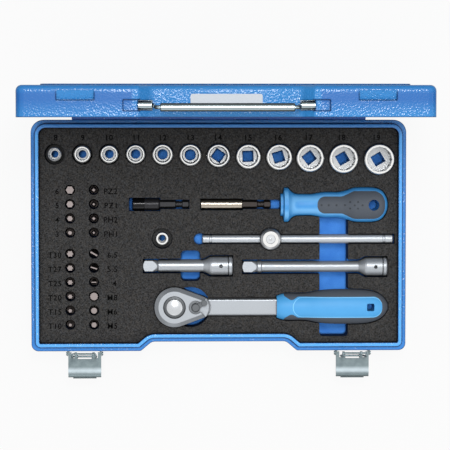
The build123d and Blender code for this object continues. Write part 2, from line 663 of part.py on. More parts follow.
def make_latch_rivets():
    """Two stub rivets in the ears and two rivets through base and wall."""
    _, outer = ear_span()
    y, z = latch_point(0, 0)
    stub = cross_rod(LATCH_PIVOT_RADIUS, LEVER_WIDTH / 2 - 1.4, outer + 0.5, y, z)
    stub += cross_rod(1.5, outer, outer + 0.7, y, z)
    rivets = both_sides(stub)
    for x in (-RIVET_X, RIVET_X):
        z = SEAM - RIVET_DROP
        rivet = front_rod(RIVET_RADIUS, -SHEET - 0.3, BASE_SHEET + 0.3, x, z)
        rivet += front_rod(RIVET_HEAD, BASE_SHEET, BASE_SHEET + 0.9, x, z)
        rivet += front_rod(RIVET_HEAD, -SHEET - 0.7, -SHEET, x, z)
        rivets.append(rivet)
    return rivets


# ------------------------------------------------------------------ sockets
def socket_bottom(size):
    return SOCKET_TOP - SOCKET_LENGTH - (SOCKET_EXTRA_LENGTH if size >= SOCKET_LONG_FROM else 0.0)


def socket_outer_diameter(rim):
    return max(rim, SOCKET_DRIVE_DIAMETER)


def socket_place(x, rim):
    """Sockets stand in a row with the backs of their pockets in line."""
    return x, SOCKET_ROW_BACK - socket_outer_diameter(rim) / 2 - SIDE


def make_socket(size, x, rim, turn):
    """Bi-hexagon socket, nut end up, square drive down."""
    low, high = socket_bottom(size), SOCKET_TOP
    rim_radius, drive_radius = rim / 2, socket_outer_diameter(rim) / 2
    neck = low + SOCKET_DRIVE_LENGTH
    edge = SOCKET_CHAMFER
    profile = [(0, low), (drive_radius - edge, low), (drive_radius, low + edge)]
    if drive_radius - rim_radius > 0.2:
        profile += [(drive_radius, neck), (rim_radius, neck + 2 * (drive_radius - rim_radius) * 0.8)]
    else:
        groove = 0.5
        profile += [(drive_radius, neck - 3), (drive_radius - groove, neck - 2.4),
                    (drive_radius - groove, neck), (rim_radius, neck + 0.6)]
    profile += [(rim_radius, high - edge), (rim_radius - edge, high), (0, high)]
    body = upright(profile)

    well_depth = 5.0 + 0.45 * size
    well = hexagon(size + 0.2) + Rot(0, 0, 30) * hexagon(size + 0.2)
    body -= prism(well, high - well_depth, high + 1)
    across = (size + 0.2) / 2
    lead = upright([(0, high - 0.9), (across, high - 0.9), (across + 1.2, high + 0.3), (0, high + 0.3)])
    body -= lead
    square = Rot(0, 0, turn) * Rectangle(SQUARE_HOLE, SQUARE_HOLE)
    if size >= SOCKET_THROUGH_FROM:
        body -= prism(square, low - 1, high - well_depth + 0.5)
    else:
        body -= prism(square, low - 1, low + SQUARE_LENGTH + 0.5)
        body -= rod(0.36 * size + 0.2, low, high - well_depth + 0.5)
    return Pos(*socket_place(x, rim), 0) * body


def socket_pocket(size, x, rim):
    place = socket_place(x, rim)
    radius = socket_outer_diameter(rim) / 2 + SIDE
    return rod(radius, socket_bottom(size) - SEAT, FOAM_TOP + 1, *place)


# ------------------------------------------------------------------ bits, each drawn standing at the origin
def bit_shank(neck_radius):
    """Hexagon shank with a chamfered foot and a round neck above it."""
    low = BIT_TOP - BIT_LENGTH
    shank = prism(hexagon(HEX), low, low + BIT_SHANK)
    cone = upright([(0, low), (HEX / 2 - 0.2, low), (HEX * 0.6, low + 1), (HEX * 0.6, low + BIT_SHANK), (0, low + BIT_SHANK)])
    return (shank & cone) + rod(neck_radius, low + BIT_SHANK, low + BIT_SHANK + 1.5)


def hex_bit(across):
    neck = min(across / 2, HEX / 2 - 0.15)
    return bit_shank(neck) + prism(hexagon(across), BIT_TOP - BIT_LENGTH + BIT_SHANK + 1, BIT_TOP)


def lobed_bit(diameter, points, depth):
    start = BIT_TOP - BIT_LENGTH + BIT_SHANK + 1
    tip = prism(star(points, diameter / 2, diameter / 2 * depth), start, BIT_TOP)
    return bit_shank(min(diameter / 2 * 0.95, HEX / 2 - 0.15)) + tip


def cross_bit(diameter):
    """Round neck running to a four-winged cross tip."""
    radius = diameter / 2
    start = BIT_TOP - BIT_LENGTH + BIT_SHANK
    nib = radius * 0.36
    cone = upright([(0, start), (radius, start), (radius, BIT_TOP - 4.4), (nib, BIT_TOP), (0, BIT_TOP)])
    wing = diameter * 0.2
    cross = Rectangle(diameter + 1, wing) + Rectangle(wing, diameter + 1)
    wings = prism(cross, BIT_TOP - 5.6, BIT_TOP + 1)
    below = rod(radius + 1, start - 1, BIT_TOP - 5.6)
    core = upright([(0, start), (radius, start), (radius, BIT_TOP - 6.2), (nib * 0.8, BIT_TOP), (0, BIT_TOP)])
    return bit_shank(radius - 0.1) + (cone & (wings + below)) + (core & cone)


def slot_bit(width, thickness, turn):
    """Round neck running to a flat blade."""
    start = BIT_TOP - BIT_LENGTH + BIT_SHANK
    neck = min(width / 2, HEX / 2 - 0.1)
    stem = upright([(0, start), (neck, start), (neck, BIT_TOP - 9), (thickness / 2, BIT_TOP - 2), (0, BIT_TOP - 2)])
    blade = prism(Rectangle(width, thickness), BIT_TOP - 9, BIT_TOP)
    return Rot(0, 0, turn) * (bit_shank(neck - 0.05) + stem + blade)


def bit_rows():
    first = [BIT_FIRST_ROW - BIT_PITCH * i for i in range(4)]
    second = [BIT_SECOND_ROW - BIT_PITCH * i for i in range(6)]
    return first, second


def make_bits():
    """Every group of bits, as lists of separate solids by node name."""
    first, second = bit_rows()
    groups = {
        "hex_bits": [Pos(BIT_LEFT, y, 0) * hex_bit(size) for size, y in zip(HEX_BITS, first)],
        "torx_bits": [Pos(BIT_LEFT, y, 0) * lobed_bit(size, 6, 0.76) for size, y in zip(TORX_BITS, second)],
        "slotted_bits": [Pos(BIT_RIGHT, y, 0) * slot_bit(*size) for size, y in zip(SLOT_BITS, second)],
        "spline_bits": [Pos(BIT_RIGHT, y, 0) * lobed_bit(size, 12, 0.86) for size, y in zip(SPLINE_BITS, second[3:])],
    }
    cross = [Pos(BIT_RIGHT, y, 0) * cross_bit(size) for size, y in zip(CROSS_BITS, first)]
    groups["pozidriv_bits"] = cross[:2]
    groups["phillips_bits"] = cross[2:]
    return groups


def bit_pockets():
    first, second = bit_rows()
    low = BIT_TOP - BIT_LENGTH - SEAT
    return [rod(BIT_HOLE_RADIUS, low, FOAM_TOP + 1, x, y) for x in (BIT_LEFT, BIT_RIGHT) for y in first + second]


# ------------------------------------------------------------------ bit adaptor
def make_adaptor():
    """Square drive socket below, hexagon hole for a bit above, and a bore that joins the two."""
    low, high = ADAPTOR_TOP - ADAPTOR_LENGTH, ADAPTOR_TOP
    wide, narrow = SOCKET_DRIVE_DIAMETER / 2, ADAPTOR_DIAMETER / 2
    neck = low + ADAPTOR_DRIVE_LENGTH
    body = upright([(0, low), (wide - 0.8, low), (wide, low + 0.8), (wide, neck), (narrow, neck + 2.6),
                    (narrow, high - 0.8), (narrow - 0.8, high), (0, high)])
    body -= prism(Rectangle(SQUARE_HOLE, SQUARE_HOLE), low - 1, low + SQUARE_LENGTH)
    body -= prism(hexagon(HEX_HOLE), high - HOLDER_HEX_DEPTH, high + 1)
    body -= rod(ADAPTOR_BORE_RADIUS, low + 1, high - 1)
    return Pos(ADAPTOR_X, ADAPTOR_Y, 0) * body


def adaptor_pocket():
    radius = SOCKET_DRIVE_DIAMETER / 2 + SIDE
    return rod(radius, ADAPTOR_TOP - ADAPTOR_LENGTH - SEAT, FOAM_TOP + 1, ADAPTOR_X, ADAPTOR_Y)


# ------------------------------------------------------------------ bit holders
def lying_hexagon(across, x0, x1, y, z):
    face = Plane.YZ * hexagon(across)
    return Pos(x0, y, z) * extrude(face, x1 - x0, dir=(1, 0, 0))


def hex_shank(start, end, y, z):
    """Hexagon drive shank with the ball groove near its end."""
    groove_end = end - SHANK_TIP
    groove = groove_end - SHANK_GROOVE
    envelope = lying([(start, 0), (start, HEX * 0.6), (groove - 1, HEX * 0.6), (groove, SHANK_GROOVE_RADIUS),
                      (groove_end, SHANK_GROOVE_RADIUS), (groove_end + 1, HEX * 0.6), (end - 1, HEX * 0.6),
                      (end, HEX / 2 - 0.4), (end, 0)], y, z)
    return lying_hexagon(HEX, start, end, y, z) & envelope


def make_quick_holder():
    """Quick-change holder: body with its shank, and the sliding collar on its front."""
    y, z, core = QUICK_Y, HOLDER_Z, QUICK_CORE_RADIUS
    gap = 0.2
    body = lying([(QUICK_FRONT + 0.8, 0), (QUICK_FRONT + 0.8, core), (QUICK_COLLAR, core),
                  (QUICK_COLLAR, QUICK_RADIUS - 0.3), (QUICK_BACK - 1.5, QUICK_RADIUS - 0.3),
                  (QUICK_BACK, QUICK_RADIUS - 1.8), (QUICK_BACK, 0)], y, z)
    body += hex_shank(QUICK_BACK - 0.5, QUICK_END, y, z)
    body -= lying_hexagon(HEX_HOLE, QUICK_FRONT, QUICK_FRONT + HOLDER_HEX_DEPTH + 6, y, z)
    sleeve = lying([(QUICK_FRONT, core + RUNNING), (QUICK_FRONT, QUICK_RADIUS - 0.8),
                    (QUICK_FRONT + 0.8, QUICK_RADIUS), (QUICK_COLLAR - gap, QUICK_RADIUS),
                    (QUICK_COLLAR - gap, core + RUNNING)], y, z)
    return body, sleeve


def quick_pocket():
    reach = QUICK_RADIUS + SIDE
    wide = block(QUICK_FRONT - QUICK_TRAVEL, QUICK_BACK + SIDE, QUICK_Y - reach, QUICK_Y + reach,
                 HOLDER_Z - QUICK_RADIUS - SEAT, FOAM_TOP + 1)
    reach = HEX * 0.58 + SIDE
    narrow = block(QUICK_BACK, QUICK_END + SIDE, QUICK_Y - reach, QUICK_Y + reach,
                   HOLDER_Z - HEX * 0.58 - SEAT, FOAM_TOP + 1)
    return [wide, narrow]


def make_magnet_holder():
    """Magnetic holder: sleeve, body with its shank, and the magnet at the bottom of the hexagon."""
    y, z = MAGNET_Y, HOLDER_Z
    seat = MAGNET_FRONT + HOLDER_HEX_DEPTH
    core = MAGNET_RADIUS - 1.0
    sleeve = lying([(MAGNET_FRONT, 0), (MAGNET_FRONT, MAGNET_RADIUS - 0.6), (MAGNET_FRONT + 0.6, MAGNET_RADIUS),
                    (MAGNET_BACK - 0.6, MAGNET_RADIUS), (MAGNET_BACK, MAGNET_RADIUS - 0.6), (MAGNET_BACK, 0)], y, z)
    sleeve -= lying_hexagon(HEX_HOLE, MAGNET_FRONT - 1, seat + 1, y, z)
    sleeve -= cross_rod(core + 0.01, seat, MAGNET_BACK + 1, y, z)
    body = cross_rod(core, seat + 4.0, MAGNET_BACK, y, z)
    body += hex_shank(MAGNET_BACK - 0.5, MAGNET_END, y, z)
    magnet = cross_rod(HEX / 2 - 0.3, seat + 0.6, seat + 4.0, y, z)
    return [body, magnet], sleeve


def magnet_pocket():
    reach = MAGNET_RADIUS + SIDE
    wide = block(MAGNET_FRONT - SIDE, MAGNET_BACK + SIDE, MAGNET_Y - reach, MAGNET_Y + reach,
                 HOLDER_Z - MAGNET_RADIUS - SEAT, FOAM_TOP + 1)
    reach = HEX * 0.58 + SIDE
    narrow = block(MAGNET_BACK, MAGNET_NOTCH, MAGNET_Y - reach, MAGNET_Y + reach,
                   HOLDER_Z - HEX * 0.58 - SEAT, FOAM_TOP + 1)
    return [wide, narrow]


# ------------------------------------------------------------------ screwdriver handle
def driver_section(inset):
    """Half of the outer form, drawn in by inset: collar, flange, waist, and a bulb that ends in a quarter oval."""
    front = DRIVER_FRONT
    side = [(front + along, radius) for along, radius in DRIVER_STATIONS]
    shoulder_x, shoulder = side[-1]
    end_length = DRIVER_BACK - shoulder_x
    for degrees in (30, 55, 75):
        angle = radians(degrees)
        side.append((shoulder_x + end_length * sin(angle), shoulder * cos(angle)))
    side.append((DRIVER_BACK, inset))
    curve = Spline(*[(x - inset if x > shoulder_x else x, r - inset) for x, r in side])
    shift = min(inset, 0.5)
    collar, flange = DRIVER_COLLAR_RADIUS - inset, DRIVER_FLANGE_RADIUS - inset
    rim = Polyline((front + shift, 0), (front + shift, collar), (front + DRIVER_COLLAR_END, collar),
                   (front + DRIVER_FLANGE_START + shift, flange), (front + DRIVER_FLANGE_END - shift, flange),
                   (side[0][0], side[0][1] - inset))
    return make_face(rim + curve + Line((DRIVER_BACK - inset, 0), (front + shift, 0)))


def driver_form(inset):
    return Pos(0, DRIVER_Y, DRIVER_Z) * revolve(driver_section(inset), Axis.X)


def driver_inlay_plan():
    """Plan of the soft inlay: a narrow tongue that widens over the bulb, with rounded ends."""
    narrow, wide = DRIVER_INLAY_NARROW / 2, DRIVER_INLAY_WIDE / 2
    x0, x1 = DRIVER_INLAY_START, DRIVER_INLAY_END
    middle, shoulder = DRIVER_TONGUE_END, DRIVER_SHOULDER_END
    corners = ((x0, narrow), (x0, -narrow), (middle, -narrow), (shoulder, -wide),
               (x1, -wide), (x1, wide), (shoulder, wide), (middle, narrow))
    radii = [narrow * 0.9, narrow * 0.9, 8, 8, wide * 0.85, wide * 0.85, 8, 8]
    return Pos(0, DRIVER_Y, 0) * make_face(FilletPolyline(*corners, radius=radii, close=True))


def make_driver():
    form = driver_form(0)
    core = driver_form(DRIVER_INLAY)
    window = prism(driver_inlay_plan(), DRIVER_Z - THROUGH, DRIVER_Z + THROUGH)
    window -= block(DRIVER_FRONT, DRIVER_BACK, DRIVER_Y - THROUGH, DRIVER_Y + THROUGH, DRIVER_Z - 4, DRIVER_Z + 4)
    hole = rod(DRIVER_HOLE_RADIUS, DRIVER_Z - THROUGH, DRIVER_Z + THROUGH, DRIVER_HOLE_X, DRIVER_Y)
    inlay = (form & window) - core - hole
    bush_end = DRIVER_FRONT + DRIVER_BUSH_LENGTH
    bush = cross_rod(DRIVER_BUSH_RADIUS, DRIVER_FRONT, bush_end, DRIVER_Y, DRIVER_Z)
    handle = form - inlay - hole - bush
    bush -= lying_hexagon(HEX_HOLE, DRIVER_FRONT - 1, DRIVER_FRONT + HOLDER_HEX_DEPTH + 4, DRIVER_Y, DRIVER_Z)
    return handle, inlay, bush


def mirrored_plan(face, y):
    """Plan made of a half section and its mirror image, laid along a tool's axis."""
    return Pos(0, y, 0) * (face + mirror(face, about=Plane.XZ))


def driver_pocket():
    """Pocket that follows the handle in plan, with a floor at three levels."""
    top = FOAM_TOP + 1
    plan = mirrored_plan(driver_section(-SIDE), DRIVER_Y)
    waist_start, waist_end = DRIVER_FRONT + DRIVER_STATIONS[0][0], DRIVER_FRONT + DRIVER_STATIONS[6][0]
    steps = (
        (DRIVER_FRONT - 1, waist_start, DRIVER_FLANGE_RADIUS),
        (waist_start, waist_end, DRIVER_STATIONS[0][1]),
        (waist_end, DRIVER_BACK + 1, max(radius for _, radius in DRIVER_STATIONS)),
    )
    pockets = []
    for x0, x1, radius in steps:
        part = block(x0, x1, DRIVER_Y - THROUGH, DRIVER_Y + THROUGH, 0, top)
        pockets.append(prism(plan, DRIVER_Z - radius - SEAT, top) & part)
    return pockets


# ------------------------------------------------------------------ square drives
def square_end(tip, root, y, z, waist):
    """Square drive along X from its tip to its root, rounded at the tip and drawn in at the root."""
    way = 1 if root > tip else -1
    face = Plane.YZ * Rectangle(SQUARE, SQUARE)
    square = Pos(min(tip, root), y, z) * extrude(face, abs(root - tip), dir=(1, 0, 0))
    corner = SQUARE * 0.68
    envelope = lying([(tip, 0), (tip, SQUARE * 0.5), (tip + way * 1.4, corner), (root - way * 4.5, corner),
                      (root, waist), (root, 0)], y, z)
    return square & envelope


def ball_at(x, y, z):
    return Pos(x, y, z) * Sphere(BALL_RADIUS)


def with_ball(shape, x, y, z):
    """Cuts the ball's seat and adds the ball as a solid of its own."""
    return [shape - Pos(x, y, z) * Sphere(BALL_RADIUS + 0.02), ball_at(x, y, z)]


# ------------------------------------------------------------------ sliding T-handle
def make_t_bar():
    left, right, radius = T_BAR_LEFT, T_BAR_RIGHT, T_BAR_RADIUS
    groove = 0.35
    profile = [(left, 0), (left, radius - 0.8), (left + 0.8, radius)]
    for x in (left + 6.0, right - 9.0):
        profile += [(x, radius), (x + 0.6, radius - groove), (x + 1.8, radius - groove), (x + 2.4, radius)]
    profile += [(right - 0.8, radius), (right, radius - 0.8), (right, 0)]
    return lying(profile, T_Y, T_BAR_Z)


def make_t_head():
    """Sliding head with stepped rings on top and the square drive below."""
    low, high, radius = T_BAR_Z - T_HEAD_BELOW, T_BAR_Z + T_HEAD_ABOVE, T_HEAD_RADIUS
    head = upright([(0, low), (radius - 1, low), (radius, low + 1), (radius, high - 1.8), (radius - 0.7, high - 1.0),
                    (T_HEAD_RING + 0.2, high - 0.2), (T_HEAD_RING, high + 0.6), (T_HEAD_EYE, high + 0.6),
                    (T_HEAD_EYE - 0.3, high - 0.4), (1.2, high - 0.4), (0, high - 0.1)])
    tip = low - SQUARE_LENGTH
    cone = upright([(0, tip), (SQUARE * 0.5, tip), (SQUARE * 0.68, tip + 1.4), (SQUARE * 0.68, low + 0.5), (0, low + 0.5)])
    head += prism(Rectangle(SQUARE, SQUARE), tip, low + 0.5) & cone
    head = Pos(T_HEAD_X, T_Y, 0) * head
    head -= cross_rod(T_BAR_RADIUS + RUNNING, T_HEAD_X - 20, T_HEAD_X + 20, T_Y, T_BAR_Z)
    return with_ball(head, T_HEAD_X, T_Y - SQUARE / 2 + BALL_RADIUS - 0.5, tip + 5.0)


def t_pocket():
    reach = T_BAR_RADIUS + SIDE
    top = FOAM_TOP + 1
    bar = block(T_NOTCH_LEFT + 5, T_BAR_RIGHT + 1.5, T_Y - reach, T_Y + reach, T_BAR_Z - T_BAR_RADIUS - SEAT, top)
    notch = rod(5.0, T_BAR_Z - T_BAR_RADIUS - SEAT, top, T_NOTCH_LEFT + 5, T_Y)
    head = rod(T_HEAD_RADIUS + SIDE, T_BAR_Z - T_HEAD_BELOW - SQUARE_LENGTH - SEAT, top, T_HEAD_X, T_Y)
    return [bar, notch, head]


# ------------------------------------------------------------------ extension bars
def make_extension(left, right, y, shaft, collar, head, head_length, waist):
    """Square drive at the left, round shaft with a collar, and a square socket with a flange at the right."""
    root = left + SQUARE_LENGTH + 1.0
    head_start = right - head_length
    flange, rim = right - EXT_FLANGE, head + EXT_FLANGE_STEP
    bar = lying([(root - 0.5, 0), (root - 0.5, waist), (root + 0.8, collar), (root + EXT_COLLAR - 0.6, collar),
                 (root + EXT_COLLAR, shaft), (head_start - EXT_FLARE, shaft),
                 (head_start - 1.5, head - 1.2), (head_start, head - 0.4), (head_start + 1.5, head),
                 (flange - 1.0, head), (flange - 0.6, head - 0.5), (flange - 0.1, head - 0.5), (flange, rim),
                 (right - 0.8, rim), (right, rim - 0.8), (right, 0)], y, EXT_Z)
    bar += square_end(left, root, y, EXT_Z, waist)
    hole = Pos(right - EXT_SQUARE_DEPTH, y, EXT_Z) * extrude(
        Plane.YZ * Rectangle(SQUARE_HOLE, SQUARE_HOLE), EXT_SQUARE_DEPTH + 1, dir=(1, 0, 0))
    bar -= hole
    dimple_x = right - 10.0
    bar -= rod(EXT_DIMPLE_RADIUS, EXT_Z + SQUARE_HOLE / 2 - 1, EXT_Z + head + 1, dimple_x, y)
    return with_ball(bar, left + 5.0, y, EXT_Z - SQUARE / 2 + BALL_RADIUS - 0.5)


def extension_pocket(left, right, y, shaft, head, head_length):
    """Pocket that follows the bar in plan, with a little room beside its square end."""
    narrow = max(shaft, SQUARE / 2 + EXT_SQUARE_ROOM) + SIDE
    wide = head + EXT_FLANGE_STEP + SIDE
    flare_end = right - head_length - SIDE / 2
    flare_start = flare_end - EXT_FLARE
    half = make_face(Polyline((left - SIDE, 0), (left - SIDE, narrow), (flare_start, narrow), (flare_end, wide),
                              (right + SIDE, wide), (right + SIDE, 0), close=True))
    return prism(mirrored_plan(half, y), EXT_Z - head - EXT_FLANGE_STEP - SEAT, FOAM_TOP + 1)


# ------------------------------------------------------------------ ratchet
def ratchet_outline(inset):
    """Plan of the head: a circle joined by tangent flanks to a smaller nose on the shaft."""
    big, small = HEAD_RADIUS - inset, NOSE_RADIUS - inset
    span = NOSE_X - HEAD_X
    lean = (big - small) / span
    rise = (1 - lean * lean) ** 0.5
    corners = []
    for x, radius in ((HEAD_X, big), (NOSE_X, small)):
        corners.append((x + radius * lean, RATCHET_Y + radius * rise))
    corners += [(x, 2 * RATCHET_Y - y) for x, y in reversed(corners)]
    web = make_face(Polyline(*corners, close=True))
    return web + Pos(HEAD_X, RATCHET_Y) * Circle(big) + Pos(NOSE_X, RATCHET_Y) * Circle(small)


def make_ratchet_body():
    """Forged head, shaft and tang, with the gear's chamber, the pawl's chamber and the lever's recess."""
    y, z = RATCHET_Y, RATCHET_Z
    low, high = z - HEAD_DOWN, z + HEAD_UP
    head = prism(ratchet_outline(0), low, high)
    head = chamfer(highest_edges(head), HEAD_BEVEL * 0.55, HEAD_BEVEL)
    head = chamfer(lowest_edges(head), 1.2)
    shaft = block(NOSE_X, SHAFT_END, y - SHAFT_HALF_WIDTH, y + SHAFT_HALF_WIDTH,
                  z - SHAFT_HALF_HEIGHT, z + SHAFT_HALF_HEIGHT)
    shaft = fillet(shaft.edges().filter_by(Axis.X), 2.0)
    tang = block(SHAFT_END - 0.5, TANG_END, y - TANG_HALF_WIDTH, y + TANG_HALF_WIDTH,
                 z - TANG_HALF_HEIGHT, z + TANG_HALF_HEIGHT)
    body = head + shaft + tang
    body -= rod(COVER_RADIUS, low - 1, low + COVER_THICKNESS, HEAD_X, y)
    body -= rod(GEAR_TIP + 0.1, low, z + GEAR_HALF_HEIGHT + 0.1, HEAD_X, y)
    body -= rod(GEAR_TOP_RADIUS + RUNNING, z, high + 1, HEAD_X, y)
    body -= pawl_chamber()
    body -= rod(SPINDLE_RADIUS + RUNNING, z, high + 1, KNOB_X, y)
    body -= rod(KNOB_RECESS_RADIUS, high - 1.6, high + 1, KNOB_X, y)
    body -= Pos(KNOB_X, y, 0) * prism(fan_plan(), high - FAN_DEPTH, high + 1)
    return body


def fan_plan():
    """Sector about the knob in which the lever's arm swings."""
    steps = 12
    rim = []
    for i in range(steps + 1):
        angle = radians(FAN_FROM + (FAN_TO - FAN_FROM) * i / steps)
        rim.append((FAN_RADIUS * cos(angle), FAN_RADIUS * sin(angle)))
    return make_face(Polyline((0, 0), *rim, close=True))


def make_ratchet_cover():
    """Plate let into the underside of the head round the gear's journal."""
    low = RATCHET_Z - HEAD_DOWN
    cover = rod(COVER_RADIUS - 0.02, low, low + COVER_THICKNESS, HEAD_X, RATCHET_Y)
    return cover - rod(GEAR_HUB_RADIUS + RUNNING, low - 1, low + COVER_THICKNESS + 1, HEAD_X, RATCHET_Y)


def make_gear():
    """Toothed drive gear with its two journals, square drive and the bore of the release button."""
    z, half = RATCHET_Z, GEAR_HALF_HEIGHT
    low, high = z - HEAD_DOWN, z + HEAD_UP
    teeth = prism(star(GEAR_TEETH, GEAR_TIP, GEAR_ROOT), z - half, z + half)
    hub = upright([(0, low), (GEAR_HUB_RADIUS - 0.6, low), (GEAR_HUB_RADIUS, low + 0.6), (GEAR_HUB_RADIUS, z),
                   (GEAR_TOP_RADIUS, z), (GEAR_TOP_RADIUS, high - 1.0), (GEAR_HUB_RADIUS, high - 0.5), (0, high - 0.5)])
    tip = low - SQUARE_LENGTH
    cone = upright([(0, tip), (SQUARE * 0.5, tip), (SQUARE * 0.68, tip + 1.4), (SQUARE * 0.68, low + 0.5), (0, low + 0.5)])
    gear = teeth + hub + (prism(Rectangle(SQUARE, SQUARE), tip, low + 0.5) & cone)
    gear -= rod(BUTTON_RADIUS + RUNNING, high - 4.0, high + 1)
    gear -= rod(2.0 + RUNNING, z - 4.0, high)
    gear = Pos(HEAD_X, RATCHET_Y, 0) * gear
    return with_ball(gear, HEAD_X, RATCHET_Y - SQUARE / 2 + BALL_RADIUS - 0.5, tip + 5.0)


def make_button():
    """Domed quick-release button with its stem."""
    high = RATCHET_Z + HEAD_UP
    start = high - 4.0 + BUTTON_TRAVEL + 0.2
    rim = high + BUTTON_RISE * 0.45
    button = rod(BUTTON_RADIUS, start, rim)
    dome_radius = (BUTTON_RADIUS**2 + (BUTTON_RISE * 0.55) ** 2) / (2 * BUTTON_RISE * 0.55)
    dome = Pos(0, 0, high + BUTTON_RISE - dome_radius) * Sphere(dome_radius)
    button += dome & rod(BUTTON_RADIUS, rim - 0.2, high + BUTTON_RISE + 1)
    button += rod(2.0, RATCHET_Z - 4.0 + BUTTON_TRAVEL + 0.3, start + 0.1)
    return Pos(HEAD_X, RATCHET_Y, 0) * button


def make_reversing_lever():
    """Knob with a knurled thumb arm above and a spindle that turns the pawl below."""
    high = RATCHET_Z + HEAD_UP
    knob = upright([(0, high - 1.4), (KNOB_RADIUS, high - 1.4), (KNOB_RADIUS, high + 1.6),
                    (KNOB_RADIUS - 0.8, high + 2.2), (0, high + 2.2)])
    knob += rod(SPINDLE_RADIUS, RATCHET_Z - HEAD_DOWN + COVER_THICKNESS + 0.3, high - 1.0)
    arm = prism(make_face(Polyline((0, -2.0), (LEVER_ARM - 3, -1.7), (LEVER_ARM - 3, 1.7), (0, 2.0), close=True)),
                high + 0.2, high + 1.8)
    thumb = prism(star(14, 2.7, 2.3), high + 0.2, high + 2.4)
    arm += Pos(LEVER_ARM - 2.6, 0, 0) * thumb
    return Pos(KNOB_X, RATCHET_Y, 0) * Rot(0, 0, LEVER_TURN) * (knob + arm)


def make_pawl():
    """Rocker with a tooth at each end, of which one stands in the gear at a time."""
    z0 = RATCHET_Z - HEAD_DOWN + COVER_THICKNESS + 0.3
    z1 = RATCHET_Z + GEAR_HALF_HEIGHT - 0.2
    span = KNOB_X - HEAD_X
    angle = radians(PAWL_REACH)
    plan = Circle(PAWL_HUB_RADIUS)
    for side in (-1, 1):
        out = (cos(angle), side * sin(angle))
        across = (-sin(angle), side * cos(angle))
        apex = ((GEAR_TIP + PAWL_LIFT) * out[0] - span, (GEAR_TIP + PAWL_LIFT) * out[1])
        foot = (apex[0] + PAWL_TOOTH * out[0], apex[1] + PAWL_TOOTH * out[1])
        wide = PAWL_TOOTH * 0.7
        outer = (foot[0] + wide * across[0], foot[1] + wide * across[1])
        inner = (foot[0] - wide * across[0], foot[1] - wide * across[1])
        plan += make_face(Polyline(apex, outer, (0, side * PAWL_HUB_RADIUS), (0, 0), inner, close=True))
    pawl = prism(plan, z0, z1) - rod(SPINDLE_RADIUS + RUNNING, z0 - 1, z1 + 1)
    return Pos(KNOB_X, RATCHET_Y, 0) * Rot(0, 0, -PAWL_TILT) * pawl


def pawl_chamber():
    """Hollow in the head in which the pawl rocks, open to the gear's chamber."""
    reach = (KNOB_X - HEAD_X) / 2
    side = GEAR_TIP * sin(radians(PAWL_REACH)) + 2 * PAWL_TOOTH
    hub = PAWL_HUB_RADIUS + 1.0
    corners = ((-reach, side), (-reach * 0.55, side), (1.0, hub), (1.0, -hub), (-reach * 0.55, -side), (-reach, -side))
    plan = make_face(Polyline(*corners, close=True)) + Circle(hub)
    low = RATCHET_Z - HEAD_DOWN + COVER_THICKNESS
    return Pos(KNOB_X, RATCHET_Y, 0) * prism(plan, low, RATCHET_Z + GEAR_HALF_HEIGHT + 0.1)


def handle_form(inset):
    """Ratchet handle lofted through oval sections: nose, waist, palm swell and rounded end."""
    scale_x = (HANDLE_END - HANDLE_START - inset) / HANDLE_STATIONS[-1][0]
    sections = []
    for along, radius in HANDLE_STATIONS:
        plane = Plane(origin=(HANDLE_START + along * scale_x, RATCHET_Y, RATCHET_Z), x_dir=(0, 1, 0), z_dir=(1, 0, 0))
        wide = max(radius - inset, 1.5)
        sections.append(plane * Ellipse(wide, max(radius * HANDLE_FLATTEN - inset, 1.5)))
    return loft(sections)


def handle_plan(margin):
    """Half plan of the ratchet handle, grown by a margin."""
    start, end = HANDLE_START - margin, HANDLE_END + margin
    scale_x = (HANDLE_END - HANDLE_START) / HANDLE_STATIONS[-1][0]
    side = [(HANDLE_START + along * scale_x, radius + margin) for along, radius in HANDLE_STATIONS]
    outline = Polyline((start, 0), (start, side[0][1]), side[0]) + Spline(*side)
    outline += Polyline(side[-1], (end, side[-1][1]), (end, 0), (start, 0))
    return make_face(outline)


def inlay_plan():
    """Plan of the hard core where it shows on top: the whole nose, a drawn-in neck and a round-ended inlay."""
    half, neck = GRIP_INLAY_WIDTH / 2, GRIP_INLAY_NECK / 2
    x0, x1, past = GRIP_INLAY_START, GRIP_INLAY_END, THROUGH / 2
    side = ((HANDLE_START - 2, past), (x0 - 6.9, past), (x0 - 6.7, neck + 4.2), (x0, neck), (x0 + 5.2, half), (x1, half))
    corners = side + tuple((x, -y) for x, y in reversed(side))
    radii = [0.5, 0.5, 2.5, 4.0, 3.0, half * 0.9]
    radii += reversed(radii)
    return Pos(0, RATCHET_Y, 0) * make_face(FilletPolyline(*corners, radius=radii, close=True))


def make_ratchet_handle():
    """Hard core that shows at the nose and on top, and the soft grip moulded over its sides."""
    form, core = handle_form(0), handle_form(GRIP_THICKNESS)
    z = RATCHET_Z
    window = prism(inlay_plan(), z - THROUGH, z + THROUGH)
    half = HANG_HOLE / 2
    plan = Pos(HANG_HOLE_X, RATCHET_Y) * RectangleRounded(HANG_HOLE, HANG_HOLE, half * 0.4)
    hole = prism(plan, z - THROUGH, z + THROUGH)
    tang = block(SHAFT_END - 2, TANG_END, RATCHET_Y - TANG_HALF_WIDTH, RATCHET_Y + TANG_HALF_WIDTH,
                 z - TANG_HALF_HEIGHT, z + TANG_HALF_HEIGHT)
    grip = form - window - core - hole
    hard = form - grip - hole - tang
    return hard, grip


